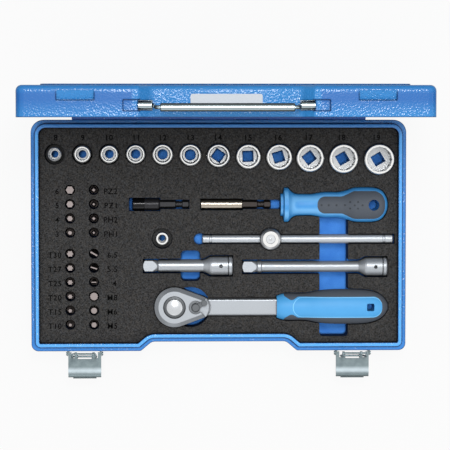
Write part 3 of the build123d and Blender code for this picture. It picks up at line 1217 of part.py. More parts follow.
def ratchet_pockets():
    y, z, top = RATCHET_Y, RATCHET_Z, FOAM_TOP + 1
    low = z - HEAD_DOWN - SEAT
    widest = max(radius for _, radius in HANDLE_STATIONS)
    handle_low = z - widest * HANDLE_FLATTEN - SEAT
    return [
        prism(ratchet_outline(-SIDE), low, top),
        block(NOSE_X, HANDLE_START, y - SHAFT_HALF_WIDTH - SIDE, y + SHAFT_HALF_WIDTH + SIDE, low, top),
        rod(SQUARE * 0.68 + SIDE, low - SQUARE_LENGTH, top, HEAD_X, y),
        prism(mirrored_plan(handle_plan(SIDE + 0.2), y), handle_low, top),
    ]


# ------------------------------------------------------------------ foam
def finger_pockets():
    top = FOAM_TOP + 1
    x0, x1, y0, y1 = FINGER_SLOT
    slot = prism(Pos((x0 + x1) / 2, (y0 + y1) / 2) * RectangleRounded(x1 - x0, y1 - y0, 3.0), FINGER_FLOOR, top)
    x0, x1, y0, y1 = FINGER_NOTCH
    notch = prism(Pos((x0 + x1) / 2, (y0 + y1) / 2) * RectangleRounded(x1 - x0, y1 - y0, 4.0), FINGER_FLOOR, top)
    x, y, radius = FINGER_ROUND
    return [slot, notch, rod(radius, FINGER_FLOOR, top, x, y)]


def foam_blocks(base):
    """The blue layer as five blocks that butt together between the rows of tools, by node name."""
    far, top = CASE_LENGTH, SKIN_BOTTOM + 1
    bands = {
        "foam_base_sockets": (-far, far, FOAM_CUT_SOCKETS, far),
        "foam_base_bits": (-far, FOAM_CUT_BITS, -far, FOAM_CUT_SOCKETS),
        "foam_base_holders": (FOAM_CUT_BITS, far, FOAM_CUT_HOLDERS, FOAM_CUT_SOCKETS),
        "foam_base_bars": (FOAM_CUT_BITS, far, FOAM_CUT_BARS, FOAM_CUT_HOLDERS),
        "foam_base_ratchet": (FOAM_CUT_BITS, far, -far, FOAM_CUT_BARS),
    }
    return {name: base & block(*band, 0, top) for name, band in bands.items()}


def make_foam():
    """Blue layer in its blocks, and the black skin, with every tool's pocket cut down through both."""
    pockets = finger_pockets() + bit_pockets() + quick_pocket() + magnet_pocket() + driver_pocket()
    pockets += t_pocket() + ratchet_pockets() + [adaptor_pocket()]
    pockets += [socket_pocket(size, x, rim) for size, x, rim, _ in SOCKETS]
    pockets.append(extension_pocket(SHORT_LEFT, SHORT_RIGHT, SHORT_Y, SHORT_SHAFT_RADIUS,
                                    SHORT_HEAD_RADIUS, SHORT_HEAD_LENGTH))
    pockets.append(extension_pocket(LONG_LEFT, LONG_RIGHT, LONG_Y, LONG_SHAFT_RADIUS,
                                    LONG_HEAD_RADIUS, LONG_HEAD_LENGTH))
    outline = case_outline(SHEET + FOAM_GAP)
    base = prism(outline, SHEET, SKIN_BOTTOM)
    skin = prism(outline, SKIN_BOTTOM, FOAM_TOP)
    return foam_blocks(base - pockets), skin - pockets


def main():
    os.makedirs("parts", exist_ok=True)
    save("case_tray", make_tray())
    save("case_lid", open_lid(make_lid()))
    save("lid_pad", open_lid(make_lid_pad()))
    save("hinge_leaf_tray", hinge_leaf(0, SEAM - HINGE_LEAF_HEIGHT - 2, SEAM - 2, SEAM - 2.5))
    save("hinge_leaf_lid", open_lid(hinge_leaf(1, SEAM + 2, SEAM + HINGE_LEAF_HEIGHT + 2, SEAM + 2.5)))
    half = HINGE_LENGTH / 2
    save("hinge_pin", cross_rod(HINGE_PIN_RADIUS, -half, half, HINGE_Y, HINGE_Z))
    save("handle_brackets", [open_lid(shape) for shape in make_brackets()])
    save("handle_wire", open_lid(make_handle_wire()))
    save("handle_grip", open_lid(make_handle_grip()))
    save("label_plate", open_lid(make_label()))

    lever, bail, base, rivets = make_lever(), make_bail(), make_latch_base(), make_latch_rivets()
    for side, name in ((-1, "left"), (1, "right")):
        place = Pos(side * LATCH_X, 0, 0)
        save(f"latch_lever_{name}", place * lever)
        save(f"latch_bail_{name}", place * bail)
    places = [Pos(side * LATCH_X, 0, 0) for side in (-1, 1)]
    save("latch_bases", [place * base for place in places])
    save("latch_rivets", [place * rivet for place in places for rivet in rivets])

    blocks, foam_top = make_foam()
    for name, shape in blocks.items():
        save(name, shape)
    save("foam_top", foam_top)
    for size, x, rim, turn in SOCKETS:
        save(f"socket_{size}", make_socket(size, x, rim, turn))
    for name, solids in make_bits().items():
        save(name, solids)
    save("bit_adaptor", make_adaptor())

    body, sleeve = make_quick_holder()
    save("quick_holder_body", body)
    save("quick_holder_sleeve", sleeve)
    body, sleeve = make_magnet_holder()
    save("magnet_holder_body", body)
    save("magnet_holder_sleeve", sleeve)
    handle, inlay, bush = make_driver()
    save("driver_handle", handle)
    save("driver_grip", inlay)
    save("driver_socket", bush)
    save("t_handle_bar", make_t_bar())
    save("t_handle_head", make_t_head())
    save("extension_short", make_extension(SHORT_LEFT, SHORT_RIGHT, SHORT_Y, SHORT_SHAFT_RADIUS,
                                           SHORT_SHAFT_RADIUS + 0.02, SHORT_HEAD_RADIUS, SHORT_HEAD_LENGTH, 4.4))
    save("extension_long", make_extension(LONG_LEFT, LONG_RIGHT, LONG_Y, LONG_SHAFT_RADIUS,
                                          LONG_COLLAR_RADIUS, LONG_HEAD_RADIUS, LONG_HEAD_LENGTH, 4.6))
    save("ratchet_body", make_ratchet_body())
    save("ratchet_cover", make_ratchet_cover())
    save("ratchet_gear", make_gear())
    save("ratchet_button", make_button())
    save("ratchet_lever", make_reversing_lever())
    save("ratchet_pawl", make_pawl())
    hard, grip = make_ratchet_handle()
    save("ratchet_handle", hard)
    save("ratchet_grip", grip)


main()
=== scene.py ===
import bpy
import numpy as np
from mathutils import Matrix, Vector


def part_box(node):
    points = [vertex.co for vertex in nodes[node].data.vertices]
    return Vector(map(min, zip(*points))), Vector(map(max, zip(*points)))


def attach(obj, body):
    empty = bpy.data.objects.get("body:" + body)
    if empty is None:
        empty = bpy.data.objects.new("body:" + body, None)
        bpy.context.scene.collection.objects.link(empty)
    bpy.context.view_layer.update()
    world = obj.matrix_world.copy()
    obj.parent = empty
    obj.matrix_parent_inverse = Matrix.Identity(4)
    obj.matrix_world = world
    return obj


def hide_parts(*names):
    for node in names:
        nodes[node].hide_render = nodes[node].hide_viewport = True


# Socket wrench set: a hinged sheet-steel case with a foam inlay that holds a ratchet, sockets, bits and
# bars. Metres, in the model's own frame: X along the front, Y to the hinge, Z up.
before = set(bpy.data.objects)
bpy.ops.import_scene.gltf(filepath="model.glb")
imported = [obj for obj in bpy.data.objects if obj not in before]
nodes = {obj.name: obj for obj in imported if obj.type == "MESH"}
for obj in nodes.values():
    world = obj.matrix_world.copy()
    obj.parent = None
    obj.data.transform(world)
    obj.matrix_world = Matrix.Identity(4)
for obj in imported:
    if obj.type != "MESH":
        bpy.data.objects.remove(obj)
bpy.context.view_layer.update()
MM = 0.001


# ---------------------------------------------------------------- case tray and lid
# Both halves are deep drawn from sheet steel and stove enamelled in a hammer finish, a hard gloss skin with
# baked-in dimples. They are faint on the flats and deep where the paint lay thick, and there the blue is
# painted lighter as a painted sheen. Painted shade darkens each edge of the sheet and the slopes of the
# tray's rim, and the top of the rim carries painted highlights.
HAMMER_PITCH, HAMMER_DEPTH = 1.5 * MM, 0.7 * MM
DRIFT = 26.0 * MM  # the depth of the dimples changes over this length
FLAT_DIMPLE, DEEP_DIMPLE = 0.05, 0.42
STRIKE_DIMPLE, TRAY_DIMPLE, PANEL_DIMPLE = 2.0, 1.0, 0.7  # shares of the deep ones
FRONT_FROM, FRONT_FULL = 12.0 * MM, 9.0 * MM  # the lid's front wall, from the top of the open lid down
RECESS_HALF, RECESS_FADE = 73.0 * MM, 2.0 * MM
BAND_FROM, BAND_FULL = 13.0 * MM, 2.0 * MM  # along the lid's rim
STRIKE_X, STRIKE_HALF, STRIKE_UP, STRIKE_RISE = 115.3 * MM, 14.5 * MM, 16.5 * MM, 4.0 * MM
FADE_FROM, FADE_TO = -150.0 * MM, 100.0 * MM  # the dimples get deeper, and the painted sheen lighter, from left to right
FADE_LOW, FADE_HIGH = 0.8, 1.05
TRAY_FROM, TRAY_FULL = 60.0 * MM, 50.0 * MM
PANEL_FROM, PANEL_FULL = 8.0 * MM, 4.0 * MM
ENAMEL_BLUE, ENAMEL_PAINTED_SHEEN, ENAMEL_PAINTED_SHADE = "#18589A", "#2670AC", "#082C5C"
RIM_PAINTED_HIGHLIGHT, RIM_BACK_PAINTED_LIGHT, LIP_PAINTED_HIGHLIGHT = "#2A72BA", "#4080C4", "#4C98DA"
BACK_FROM, BACK_FULL = 14.0 * MM, 9.0 * MM  # the rim's rear stretch, under the lid, which gets a painted tone of its own
LIP_RISE, RIM_REACH = 1.2 * MM, 4.4 * MM
ROUNDING = 1.8 * MM


def linear(code):
    """sRGB hex to linear: c / 12.92 for a channel c up to 0.04045, else ((c + 0.055) / 1.055) to the 2.4."""
    c = np.array([int(code[i : i + 2], 16) for i in (1, 3, 5)]) / 255
    c = np.where(c <= 0.04045, c / 12.92, ((c + 0.055) / 1.055) ** 2.4)
    return (*c.tolist(), 1.0)


def add_node(tree, kind, inputs=None, **settings):
    """Adds a node with its settings. An input given as an output socket is linked, and any other is set."""
    node = tree.nodes.new(kind)
    for name, value in settings.items():
        setattr(node, name, value)
    for name, value in (inputs or {}).items():
        if isinstance(value, bpy.types.NodeSocket):
            tree.links.new(value, node.inputs[name])
        else:
            node.inputs[name].default_value = value
    return node


def start_material(name):
    """An empty node material, and the Object coordinates that its patterns read, in metres."""
    material = bpy.data.materials.new(name)
    material.use_nodes = True
    material.node_tree.nodes.clear()
    place = add_node(material.node_tree, "ShaderNodeTexCoord").outputs["Object"]
    return material, material.node_tree, place


def coat(material, surface, *names):
    """Ends a material in its surface, and coats the named model nodes with it."""
    add_node(material.node_tree, "ShaderNodeOutputMaterial", {"Surface": surface})
    for name in names:
        nodes[name].data.materials.clear()
        nodes[name].data.materials.append(material)


enamel, tree, place = start_material("hammer_finish_stove_enamel_blue")
wander = add_node(tree, "ShaderNodeTexNoise", {"Vector": place, "Scale": 0.6 / HAMMER_PITCH, "Detail": 1.0})
pulled = add_node(tree, "ShaderNodeMixRGB", {
    "Fac": 0.0012, "Color1": place, "Color2": wander.outputs["Color"]}, blend_type="ADD")
hammer = add_node(tree, "ShaderNodeTexVoronoi", {
    "Vector": pulled.outputs["Color"], "Scale": 1 / HAMMER_PITCH, "Smoothness": 0.35}, feature="SMOOTH_F1")
drift = add_node(tree, "ShaderNodeTexNoise", {"Vector": place, "Scale": 1 / DRIFT, "Detail": 2.0})
lid_low, lid_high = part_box("case_lid")
where = add_node(tree, "ShaderNodeSeparateXYZ", {"Vector": place})
aside = add_node(tree, "ShaderNodeMath", {0: where.outputs["X"]}, operation="ABSOLUTE")
front = add_node(tree, "ShaderNodeMapRange", {
    "Value": where.outputs["Z"], "From Min": lid_high.z - FRONT_FROM, "From Max": lid_high.z - FRONT_FULL})
recess = add_node(tree, "ShaderNodeMapRange", {
    "Value": aside.outputs["Value"], "From Min": RECESS_HALF, "From Max": RECESS_HALF - RECESS_FADE})
band = add_node(tree, "ShaderNodeMapRange", {
    "Value": where.outputs["Y"], "From Min": lid_low.y + BAND_FROM, "From Max": lid_low.y + BAND_FULL})
strike = add_node(tree, "ShaderNodeMath", {
    0: aside.outputs["Value"], 1: STRIKE_X, 2: STRIKE_HALF}, operation="COMPARE")
upper = add_node(tree, "ShaderNodeMath", {
    0: where.outputs["Y"], 1: lid_low.y + STRIKE_UP, 2: STRIKE_RISE}, operation="COMPARE")
strike = add_node(tree, "ShaderNodeMath", {
    0: strike.outputs["Value"], 1: upper.outputs["Value"]}, operation="MULTIPLY")
strike = add_node(tree, "ShaderNodeMath", {
    0: strike.outputs["Value"], 1: STRIKE_DIMPLE}, operation="MULTIPLY")
fade = add_node(tree, "ShaderNodeMapRange", {
    "Value": where.outputs["X"], "From Min": FADE_FROM, "From Max": FADE_TO, "To Min": FADE_LOW,
    "To Max": FADE_HIGH})
tray = add_node(tree, "ShaderNodeMapRange", {
    "Value": where.outputs["Z"], "From Min": TRAY_FROM, "From Max": TRAY_FULL, "To Max": TRAY_DIMPLE})
panel = add_node(tree, "ShaderNodeMapRange", {
    "Value": where.outputs["Y"], "From Min": lid_high.y - PANEL_FROM, "From Max": lid_high.y - PANEL_FULL,
    "To Max": PANEL_DIMPLE})
# The lid's thick places count on its front wall alone, then come the tray and the lid's panel.
pressed = band
for mask, how in (
    (strike, "MAXIMUM"), (recess, "MAXIMUM"), (front, "MULTIPLY"), (fade, "MULTIPLY"), (tray, "MAXIMUM"),
    (panel, "MAXIMUM"),
):
    pressed = add_node(tree, "ShaderNodeMath", {0: pressed.outputs[0], 1: mask.outputs[0]}, operation=how)
uneven = add_node(tree, "ShaderNodeMapRange", {
    "Value": drift.outputs["Fac"], "From Min": 0.3, "From Max": 0.7, "To Min": 0.6, "To Max": 1.3})
depth = add_node(tree, "ShaderNodeMapRange", {
    "Value": pressed.outputs["Value"], "To Min": FLAT_DIMPLE, "To Max": DEEP_DIMPLE}, clamp=False)
depth = add_node(tree, "ShaderNodeMath", {
    0: depth.outputs["Result"], 1: uneven.outputs["Result"]}, operation="MULTIPLY")
# Painted sheen: where the dimples are deep, the blue is mixed towards the lighter tone.
tone = add_node(tree, "ShaderNodeMixRGB", {
    "Fac": pressed.outputs["Value"], "Color1": linear(ENAMEL_BLUE), "Color2": linear(ENAMEL_PAINTED_SHEEN)})
tray_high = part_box("case_tray")[1]
# Painted light on the tray's rim: painted highlights on its top and lip, a painted tone of its own on the
# rear stretch under the lid, and painted shade where it slopes away.
shaded = add_node(tree, "ShaderNodeMapRange", {
    "Value": where.outputs["Y"], "From Min": tray_high.y - BACK_FROM, "From Max": tray_high.y - BACK_FULL})
sheet = add_node(tree, "ShaderNodeNewGeometry")
facing = add_node(tree, "ShaderNodeSeparateXYZ", {"Vector": sheet.outputs["Normal"]})
crown = add_node(tree, "ShaderNodeMapRange", {
    "Value": facing.outputs["Z"], "From Min": 0.75, "From Max": 0.98})
lip = add_node(tree, "ShaderNodeMath", {
    0: where.outputs["Z"], 1: tray_high.z - LIP_RISE}, operation="GREATER_THAN")
bright = add_node(tree, "ShaderNodeMixRGB", {
    "Fac": lip.outputs["Value"], "Color1": linear(RIM_PAINTED_HIGHLIGHT), "Color2": linear(LIP_PAINTED_HIGHLIGHT)})
bright = add_node(tree, "ShaderNodeMixRGB", {
    "Fac": shaded.outputs["Result"], "Color1": bright.outputs["Color"], "Color2": linear(RIM_BACK_PAINTED_LIGHT)})
rim_tone = add_node(tree, "ShaderNodeMixRGB", {
    "Fac": crown.outputs["Result"], "Color1": linear(ENAMEL_PAINTED_SHADE), "Color2": bright.outputs["Color"]})
level = add_node(tree, "ShaderNodeMath", {
    0: where.outputs["Z"], 1: tray_high.z, 2: RIM_REACH}, operation="COMPARE")
ahead = add_node(tree, "ShaderNodeMath", {0: where.outputs["Y"], 1: tray_high.y}, operation="LESS_THAN")
top = add_node(tree, "ShaderNodeMath", {
    0: level.outputs["Value"], 1: ahead.outputs["Value"]}, operation="MULTIPLY")
tone = add_node(tree, "ShaderNodeMixRGB", {
    "Fac": top.outputs["Value"], "Color1": tone.outputs["Color"], "Color2": rim_tone.outputs["Color"]})
# Painted shade: near each edge of the sheet the enamel is mixed towards the dark edge tone.
rounded = add_node(tree, "ShaderNodeBevel", {"Radius": ROUNDING}, samples=8)
turn = add_node(tree, "ShaderNodeVectorMath", {
    0: rounded.outputs["Normal"], 1: sheet.outputs["True Normal"]}, operation="DOT_PRODUCT")
flank = add_node(tree, "ShaderNodeMapRange", {
    "Value": turn.outputs["Value"], "From Min": 0.82, "From Max": 0.998})
tone = add_node(tree, "ShaderNodeMixRGB", {
    "Fac": flank.outputs["Result"], "Color1": linear(ENAMEL_PAINTED_SHADE), "Color2": tone.outputs["Color"]})
dimples = add_node(tree, "ShaderNodeBump", {
    "Height": hammer.outputs["Distance"], "Strength": depth.outputs["Value"], "Distance": HAMMER_DEPTH,
    "Normal": rounded.outputs["Normal"]})
shader = add_node(tree, "ShaderNodeBsdfPrincipled", {
    "Base Color": tone.outputs["Color"], "Roughness": 0.2, "Specular IOR Level": 0.45,
    "Normal": dimples.outputs["Normal"]})
coat(enamel, shader.outputs["BSDF"], "case_tray", "case_lid")


# ---------------------------------------------------------------- piano hinge
# Two rolled steel leaves spot-welded to tray and lid, and sprayed with them, so the paint is thinner in the
# gaps between the knuckles. Their blue is painted darker than the case's, as painted shade from the open lid.
# The bare pin shows at its two ends.
HINGE_SHADE_BLUE, HINGE_SHADE_LIGHT = "#1B3F82", "#28539E"

hinge_paint, tree, place = start_material("sprayed_enamel_painted_shade_dark_blue")
grain = add_node(tree, "ShaderNodeTexNoise", {"Vector": place, "Scale": 1 / (0.8 * MM), "Detail": 2.0})
shade = add_node(tree, "ShaderNodeMixRGB", {
    "Fac": grain.outputs["Fac"], "Color1": linear(HINGE_SHADE_BLUE), "Color2": linear(HINGE_SHADE_LIGHT)})
bump = add_node(tree, "ShaderNodeBump", {
    "Height": grain.outputs["Fac"], "Strength": 0.3, "Distance": 0.1 * MM})
shader = add_node(tree, "ShaderNodeBsdfPrincipled", {
    "Base Color": shade.outputs["Color"], "Roughness": 0.42, "Normal": bump.outputs["Normal"]})
coat(hinge_paint, shader.outputs["BSDF"], "hinge_leaf_tray", "hinge_leaf_lid")


# ---------------------------------------------------------------- carrying handle
# Steel wire bent to a bow, with a thin tube drawn over its grip and a turned ferrule at each pivot. It is all
# nickel plated: a bright metal with the fine marks of polishing along its length, and painted shade darkens
# it towards its flanks.
NICKEL, NICKEL_PAINTED_SHADE = "#ADBBC0", "#37403E"

nickel, tree, place = start_material("nickel_plated_steel")
stretch = add_node(tree, "ShaderNodeMapping", {"Vector": place, "Scale": (0.03, 1.0, 1.0)})
marks = add_node(tree, "ShaderNodeTexNoise", {
    "Vector": stretch.outputs["Vector"], "Scale": 1 / (0.35 * MM), "Detail": 2.0})
gloss = add_node(tree, "ShaderNodeMapRange", {
    "Value": marks.outputs["Fac"], "To Min": 0.14, "To Max": 0.22})
bump = add_node(tree, "ShaderNodeBump", {
    "Height": marks.outputs["Fac"], "Strength": 0.04, "Distance": 0.02 * MM})
# Painted shade: towards the flanks, where the surface turns from the camera, the nickel is mixed towards a
# dark tone.
rim = add_node(tree, "ShaderNodeLayerWeight", {"Blend": 0.5})
edge = add_node(tree, "ShaderNodeMapRange", {"Value": rim.outputs["Facing"], "From Max": 0.45})
tint = add_node(tree, "ShaderNodeMixRGB", {
    "Fac": edge.outputs["Result"], "Color1": linear(NICKEL), "Color2": linear(NICKEL_PAINTED_SHADE)})
shader = add_node(tree, "ShaderNodeBsdfPrincipled", {
    "Base Color": tint.outputs["Color"], "Metallic": 1.0, "Roughness": gloss.outputs["Result"],
    "Normal": bump.outputs["Normal"]})
coat(nickel, shader.outputs["BSDF"], "handle_brackets", "handle_wire", "handle_grip")


# ---------------------------------------------------------------- label plate
# A self-adhesive card on the lid's front, left plain. It is matt white film with a faint paper tooth, and
# lies flat on the enamel.
FILM_WHITE, FILM_LIGHT = "#9DA3AA", "#ACB2B9"

label_film, tree, place = start_material("matt_white_label_film")
tooth = add_node(tree, "ShaderNodeTexNoise", {"Vector": place, "Scale": 1 / (0.4 * MM), "Detail": 2.0})
tint = add_node(tree, "ShaderNodeMixRGB", {
    "Fac": tooth.outputs["Fac"], "Color1": linear(FILM_WHITE), "Color2": linear(FILM_LIGHT)})
bump = add_node(tree, "ShaderNodeBump", {
    "Height": tooth.outputs["Fac"], "Strength": 0.1, "Distance": 0.03 * MM})
shader = add_node(tree, "ShaderNodeBsdfPrincipled", {
    "Base Color": tint.outputs["Color"], "Roughness": 0.5, "Normal": bump.outputs["Normal"]})
coat(label_film, shader.outputs["BSDF"], "label_plate")


# ---------------------------------------------------------------- toggle latches
# Pressed strip-steel levers with wire bails, zinc plated and blue passivated: a cool grey metal with a fine
# rolled grain across the lever, dulled to matt in patches, with a band of painted highlight across each
# lever.
ZINC, ZINC_LIGHT, ZINC_PAINTED_HIGHLIGHT = "#66747A", "#8D9A9C", "#BECBD1"
HIGHLIGHT_BAND_AT, HIGHLIGHT_BAND_HALF = 7.0 * MM, 3.8 * MM  # a painted highlight lies in a band across each lever, where its curve catches the light

zinc, tree, place = start_material("zinc_plated_blue_passivated_steel")
stretch = add_node(tree, "ShaderNodeMapping", {"Vector": place, "Scale": (0.08, 1.0, 1.0)})
roll = add_node(tree, "ShaderNodeTexNoise", {
    "Vector": stretch.outputs["Vector"], "Scale": 1 / (0.3 * MM), "Detail": 4.0})
cloud = add_node(tree, "ShaderNodeTexNoise", {"Vector": place, "Scale": 1 / (5 * MM), "Detail": 3.0})
gloss = add_node(tree, "ShaderNodeMapRange", {"Value": cloud.outputs["Fac"], "To Min": 0.22, "To Max": 0.5})
tint = add_node(tree, "ShaderNodeMixRGB", {
    "Fac": cloud.outputs["Fac"], "Color1": linear(ZINC), "Color2": linear(ZINC_LIGHT)})
# Painted highlight: a band across each lever, counted along Y from the lever's end.
lever_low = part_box("latch_lever_left")[0]
along = add_node(tree, "ShaderNodeSeparateXYZ", {"Vector": place})
offset = add_node(tree, "ShaderNodeMath", {
    0: along.outputs["Y"], 1: lever_low.y + HIGHLIGHT_BAND_AT}, operation="SUBTRACT")
offset = add_node(tree, "ShaderNodeMath", {0: offset.outputs["Value"]}, operation="ABSOLUTE")
band = add_node(tree, "ShaderNodeMapRange", {
    "Value": offset.outputs["Value"], "From Min": HIGHLIGHT_BAND_HALF, "From Max": 0.0},
    interpolation_type="SMOOTHSTEP")
tint = add_node(tree, "ShaderNodeMixRGB", {
    "Fac": band.outputs["Result"], "Color1": tint.outputs["Color"], "Color2": linear(ZINC_PAINTED_HIGHLIGHT)})
bump = add_node(tree, "ShaderNodeBump", {
    "Height": roll.outputs["Fac"], "Strength": 0.25, "Distance": 0.04 * MM})
shader = add_node(tree, "ShaderNodeBsdfPrincipled", {
    "Base Color": tint.outputs["Color"], "Metallic": 1.0, "Roughness": gloss.outputs["Result"],
    "Normal": bump.outputs["Normal"]})
coat(zinc, shader.outputs["BSDF"], "latch_lever_left", "latch_lever_right", "latch_bail_left",
     "latch_bail_right", "latch_bases",
      "latch_rivets", "hinge_pin")


# ---------------------------------------------------------------- foam inlay
# Closed-cell polyethylene in two colours, laminated and milled: a charcoal skin on a blue block, so that
# every pocket shows blue at its floor. The cut cells give both a matt, speckled face. Painted shadow darkens
# the skin next to each tool, and painted shade darkens the blue walls and the floors of narrow pockets.
CELL = 0.75 * MM  # coarser than most such foam, so that the cells show
CHARCOAL, CHARCOAL_LIGHT = "#0B0B0B", "#494949"
FOAM_BLUE, FOAM_BLUE_LIGHT = "#3A7AD2", "#4A8EE2"
FOAM_PAINTED_SHADE, CONTACT_SHADOW_BLACK = "#0C2040", "#050505"
COOL_CAST, WARM_CAST = "#E4F0FF", "#FFF0DE"
NOOK = 12.0 * MM  # painted shade darkens the floor of a pocket much narrower than this
SLIT = 2.5 * MM  # and a floor this close to a tool's side
CREVICE = 1.6 * MM  # painted shadow darkens the skin this close to a tool standing in it

black_foam, tree, place = start_material("closed_cell_polyethylene_foam_charcoal")
cells = add_node(tree, "ShaderNodeTexNoise", {
    "Vector": place, "Scale": 1.25 / CELL, "Detail": 3.0, "Roughness": 0.6})
patches = add_node(tree, "ShaderNodeTexNoise", {"Vector": place, "Scale": 0.7 / CELL, "Detail": 2.0})
both = add_node(tree, "ShaderNodeMath", {
    0: cells.outputs["Fac"], 1: patches.outputs["Fac"]}, operation="ADD")
speckle = add_node(tree, "ShaderNodeMapRange", {
    "Value": both.outputs["Value"], "From Min": 0.7, "From Max": 1.35})
shade = add_node(tree, "ShaderNodeMixRGB", {
    "Fac": speckle.outputs["Result"], "Color1": linear(CHARCOAL), "Color2": linear(CHARCOAL_LIGHT)})
warmth = add_node(tree, "ShaderNodeTexNoise", {"Vector": place, "Scale": 1 / (2 * MM), "Detail": 2.0})
cast = add_node(tree, "ShaderNodeMixRGB", {
    "Fac": warmth.outputs["Fac"], "Color1": linear(COOL_CAST), "Color2": linear(WARM_CAST)})
tint = add_node(tree, "ShaderNodeMixRGB", {
    "Fac": 1.0, "Color1": shade.outputs["Color"], "Color2": cast.outputs["Color"]}, blend_type="MULTIPLY")
# Painted shadow round each tool standing in the skin.
crevice = add_node(tree, "ShaderNodeAmbientOcclusion", {
    "Color": tint.outputs["Color"], "Distance": CREVICE}, samples=8)
contact_shadow = add_node(tree, "ShaderNodeMapRange", {
    "Value": crevice.outputs["AO"], "From Min": 0.6, "From Max": 0.95})
tint = add_node(tree, "ShaderNodeMixRGB", {
    "Fac": contact_shadow.outputs["Result"], "Color1": linear(CONTACT_SHADOW_BLACK), "Color2": tint.outputs["Color"]})
bump = add_node(tree, "ShaderNodeBump", {
    "Height": cells.outputs["Fac"], "Strength": 0.6, "Distance": 0.3 * MM})
shader = add_node(tree, "ShaderNodeBsdfPrincipled", {
    "Base Color": tint.outputs["Color"], "Roughness": 0.92, "Specular IOR Level": 0.15,
    "Normal": bump.outputs["Normal"]})
coat(black_foam, shader.outputs["BSDF"], "foam_top")

blue_foam, tree, place = start_material("closed_cell_polyethylene_foam_blue")
cells = add_node(tree, "ShaderNodeTexNoise", {"Vector": place, "Scale": 1 / CELL, "Detail": 3.0})
passes = add_node(tree, "ShaderNodeTexNoise", {"Vector": place, "Scale": 1 / (9 * MM), "Detail": 1.0})
both = add_node(tree, "ShaderNodeMath", {
    0: cells.outputs["Fac"], 1: passes.outputs["Fac"]}, operation="MULTIPLY")
shade = add_node(tree, "ShaderNodeMapRange", {
    "Value": both.outputs["Value"], "From Min": 0.1, "From Max": 0.4})
floor = add_node(tree, "ShaderNodeMixRGB", {
    "Fac": shade.outputs["Result"], "Color1": linear(FOAM_BLUE), "Color2": linear(FOAM_BLUE_LIGHT)})
# Painted shade: walls, narrow pockets and floors beside tools are mixed towards dark navy.
facing = add_node(tree, "ShaderNodeSeparateXYZ", {
    "Vector": add_node(tree, "ShaderNodeNewGeometry").outputs["True Normal"]})
upward = add_node(tree, "ShaderNodeMath", {0: facing.outputs["Z"]}, operation="ABSOLUTE")
nook = add_node(tree, "ShaderNodeAmbientOcclusion", {"Distance": NOOK}, samples=8)
light = add_node(tree, "ShaderNodeMapRange", {
    "Value": nook.outputs["AO"], "From Min": 0.07, "From Max": 0.2})
slit = add_node(tree, "ShaderNodeAmbientOcclusion", {"Distance": SLIT}, samples=8)
open_floor = add_node(tree, "ShaderNodeMapRange", {
    "Value": slit.outputs["AO"], "From Min": 0.45, "From Max": 0.8})
light = add_node(tree, "ShaderNodeMath", {
    0: light.outputs["Result"], 1: open_floor.outputs["Result"]}, operation="MULTIPLY")
light = add_node(tree, "ShaderNodeMath", {
    0: light.outputs["Value"], 1: upward.outputs["Value"]}, operation="MULTIPLY")
tint = add_node(tree, "ShaderNodeMixRGB", {
    "Fac": light.outputs["Value"], "Color1": linear(FOAM_PAINTED_SHADE), "Color2": floor.outputs["Color"]})
bump = add_node(tree, "ShaderNodeBump", {
    "Height": cells.outputs["Fac"], "Strength": 0.35, "Distance": 0.2 * MM})
shader = add_node(tree, "ShaderNodeBsdfPrincipled", {
    "Base Color": tint.outputs["Color"], "Roughness": 0.85, "Specular IOR Level": 0.2,
    "Normal": bump.outputs["Normal"]})
coat(blue_foam, shader.outputs["BSDF"], *(name for name in nodes if name.startswith("foam_base")))


# ---------------------------------------------------------------- size marks in the foam
# Sizes milled into the charcoal skin beside each pocket, a fraction of a millimetre deep: across flats for
# sockets and hexagon bits, profile sizes for the others. Here they are flat letters laid just above the skin
# and painted near-black, the painted shadow of the grooves.
MARK_LIFT = 0.03 * MM
MARK_SPACING = 1.12
MARK_BOLD = 0.013  # stroke widened each way, in capital heights
SOCKET_MARK_Y, SOCKET_MARK_HEIGHT = 83.8, 4.9
SOCKET_MARKS = {"8": -139.3, "9": -116.3, "10": -93.5, "11": -70.5, "12": -47.6, "13": -24.0, "14": -0.4,
                "15": 25.2, "16": 51.0, "17": 77.4, "18": 105.6, "19": 135.4}
BIT_MARK_HEIGHT, BIT_MARK_DROP = 4.8, 1.2
MARK_SHADOW_BLACK, MARK_SHADOW_GREY = "#060606", "#121212"
FIRST_ROWS, SECOND_ROWS = 39.2 - 12.2 * np.arange(4), -15.4 - 12.2 * np.arange(6)
BIT_MARKS = (
    [(t, -138.3, y) for t, y in zip(("6", "5", "4", "3"), FIRST_ROWS)]
    + [(t, -92.6, y) for t, y in zip(("PZ2", "PZ1", "PH2", "PH1"), FIRST_ROWS)]
    + [(t, -140.5, y) for t, y in zip(("T30", "T27", "T25", "T20", "T15", "T10"), SECOND_ROWS)]
    + [(t, x, y) for t, x, y in zip(("6.5", "5.5", "4", "M8", "M6", "M5"),
                                    (-91.3, -91.3, -89.4, -91.3, -91.3, -91.3), SECOND_ROWS)]
)

milled, tree, place = start_material("milled_foam_shadow_black")
cells = add_node(tree, "ShaderNodeTexNoise", {"Vector": place, "Scale": 1 / CELL, "Detail": 3.0})
tint = add_node(tree, "ShaderNodeMixRGB", {
    "Fac": cells.outputs["Fac"], "Color1": linear(MARK_SHADOW_BLACK), "Color2": linear(MARK_SHADOW_GREY)})
shader = add_node(tree, "ShaderNodeBsdfPrincipled", {
    "Base Color": tint.outputs["Color"], "Roughness": 0.95, "Specular IOR Level": 0.0})
add_node(tree, "ShaderNodeOutputMaterial", {"Surface": shader.outputs["BSDF"]})
foam_top_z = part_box("foam_top")[1].z


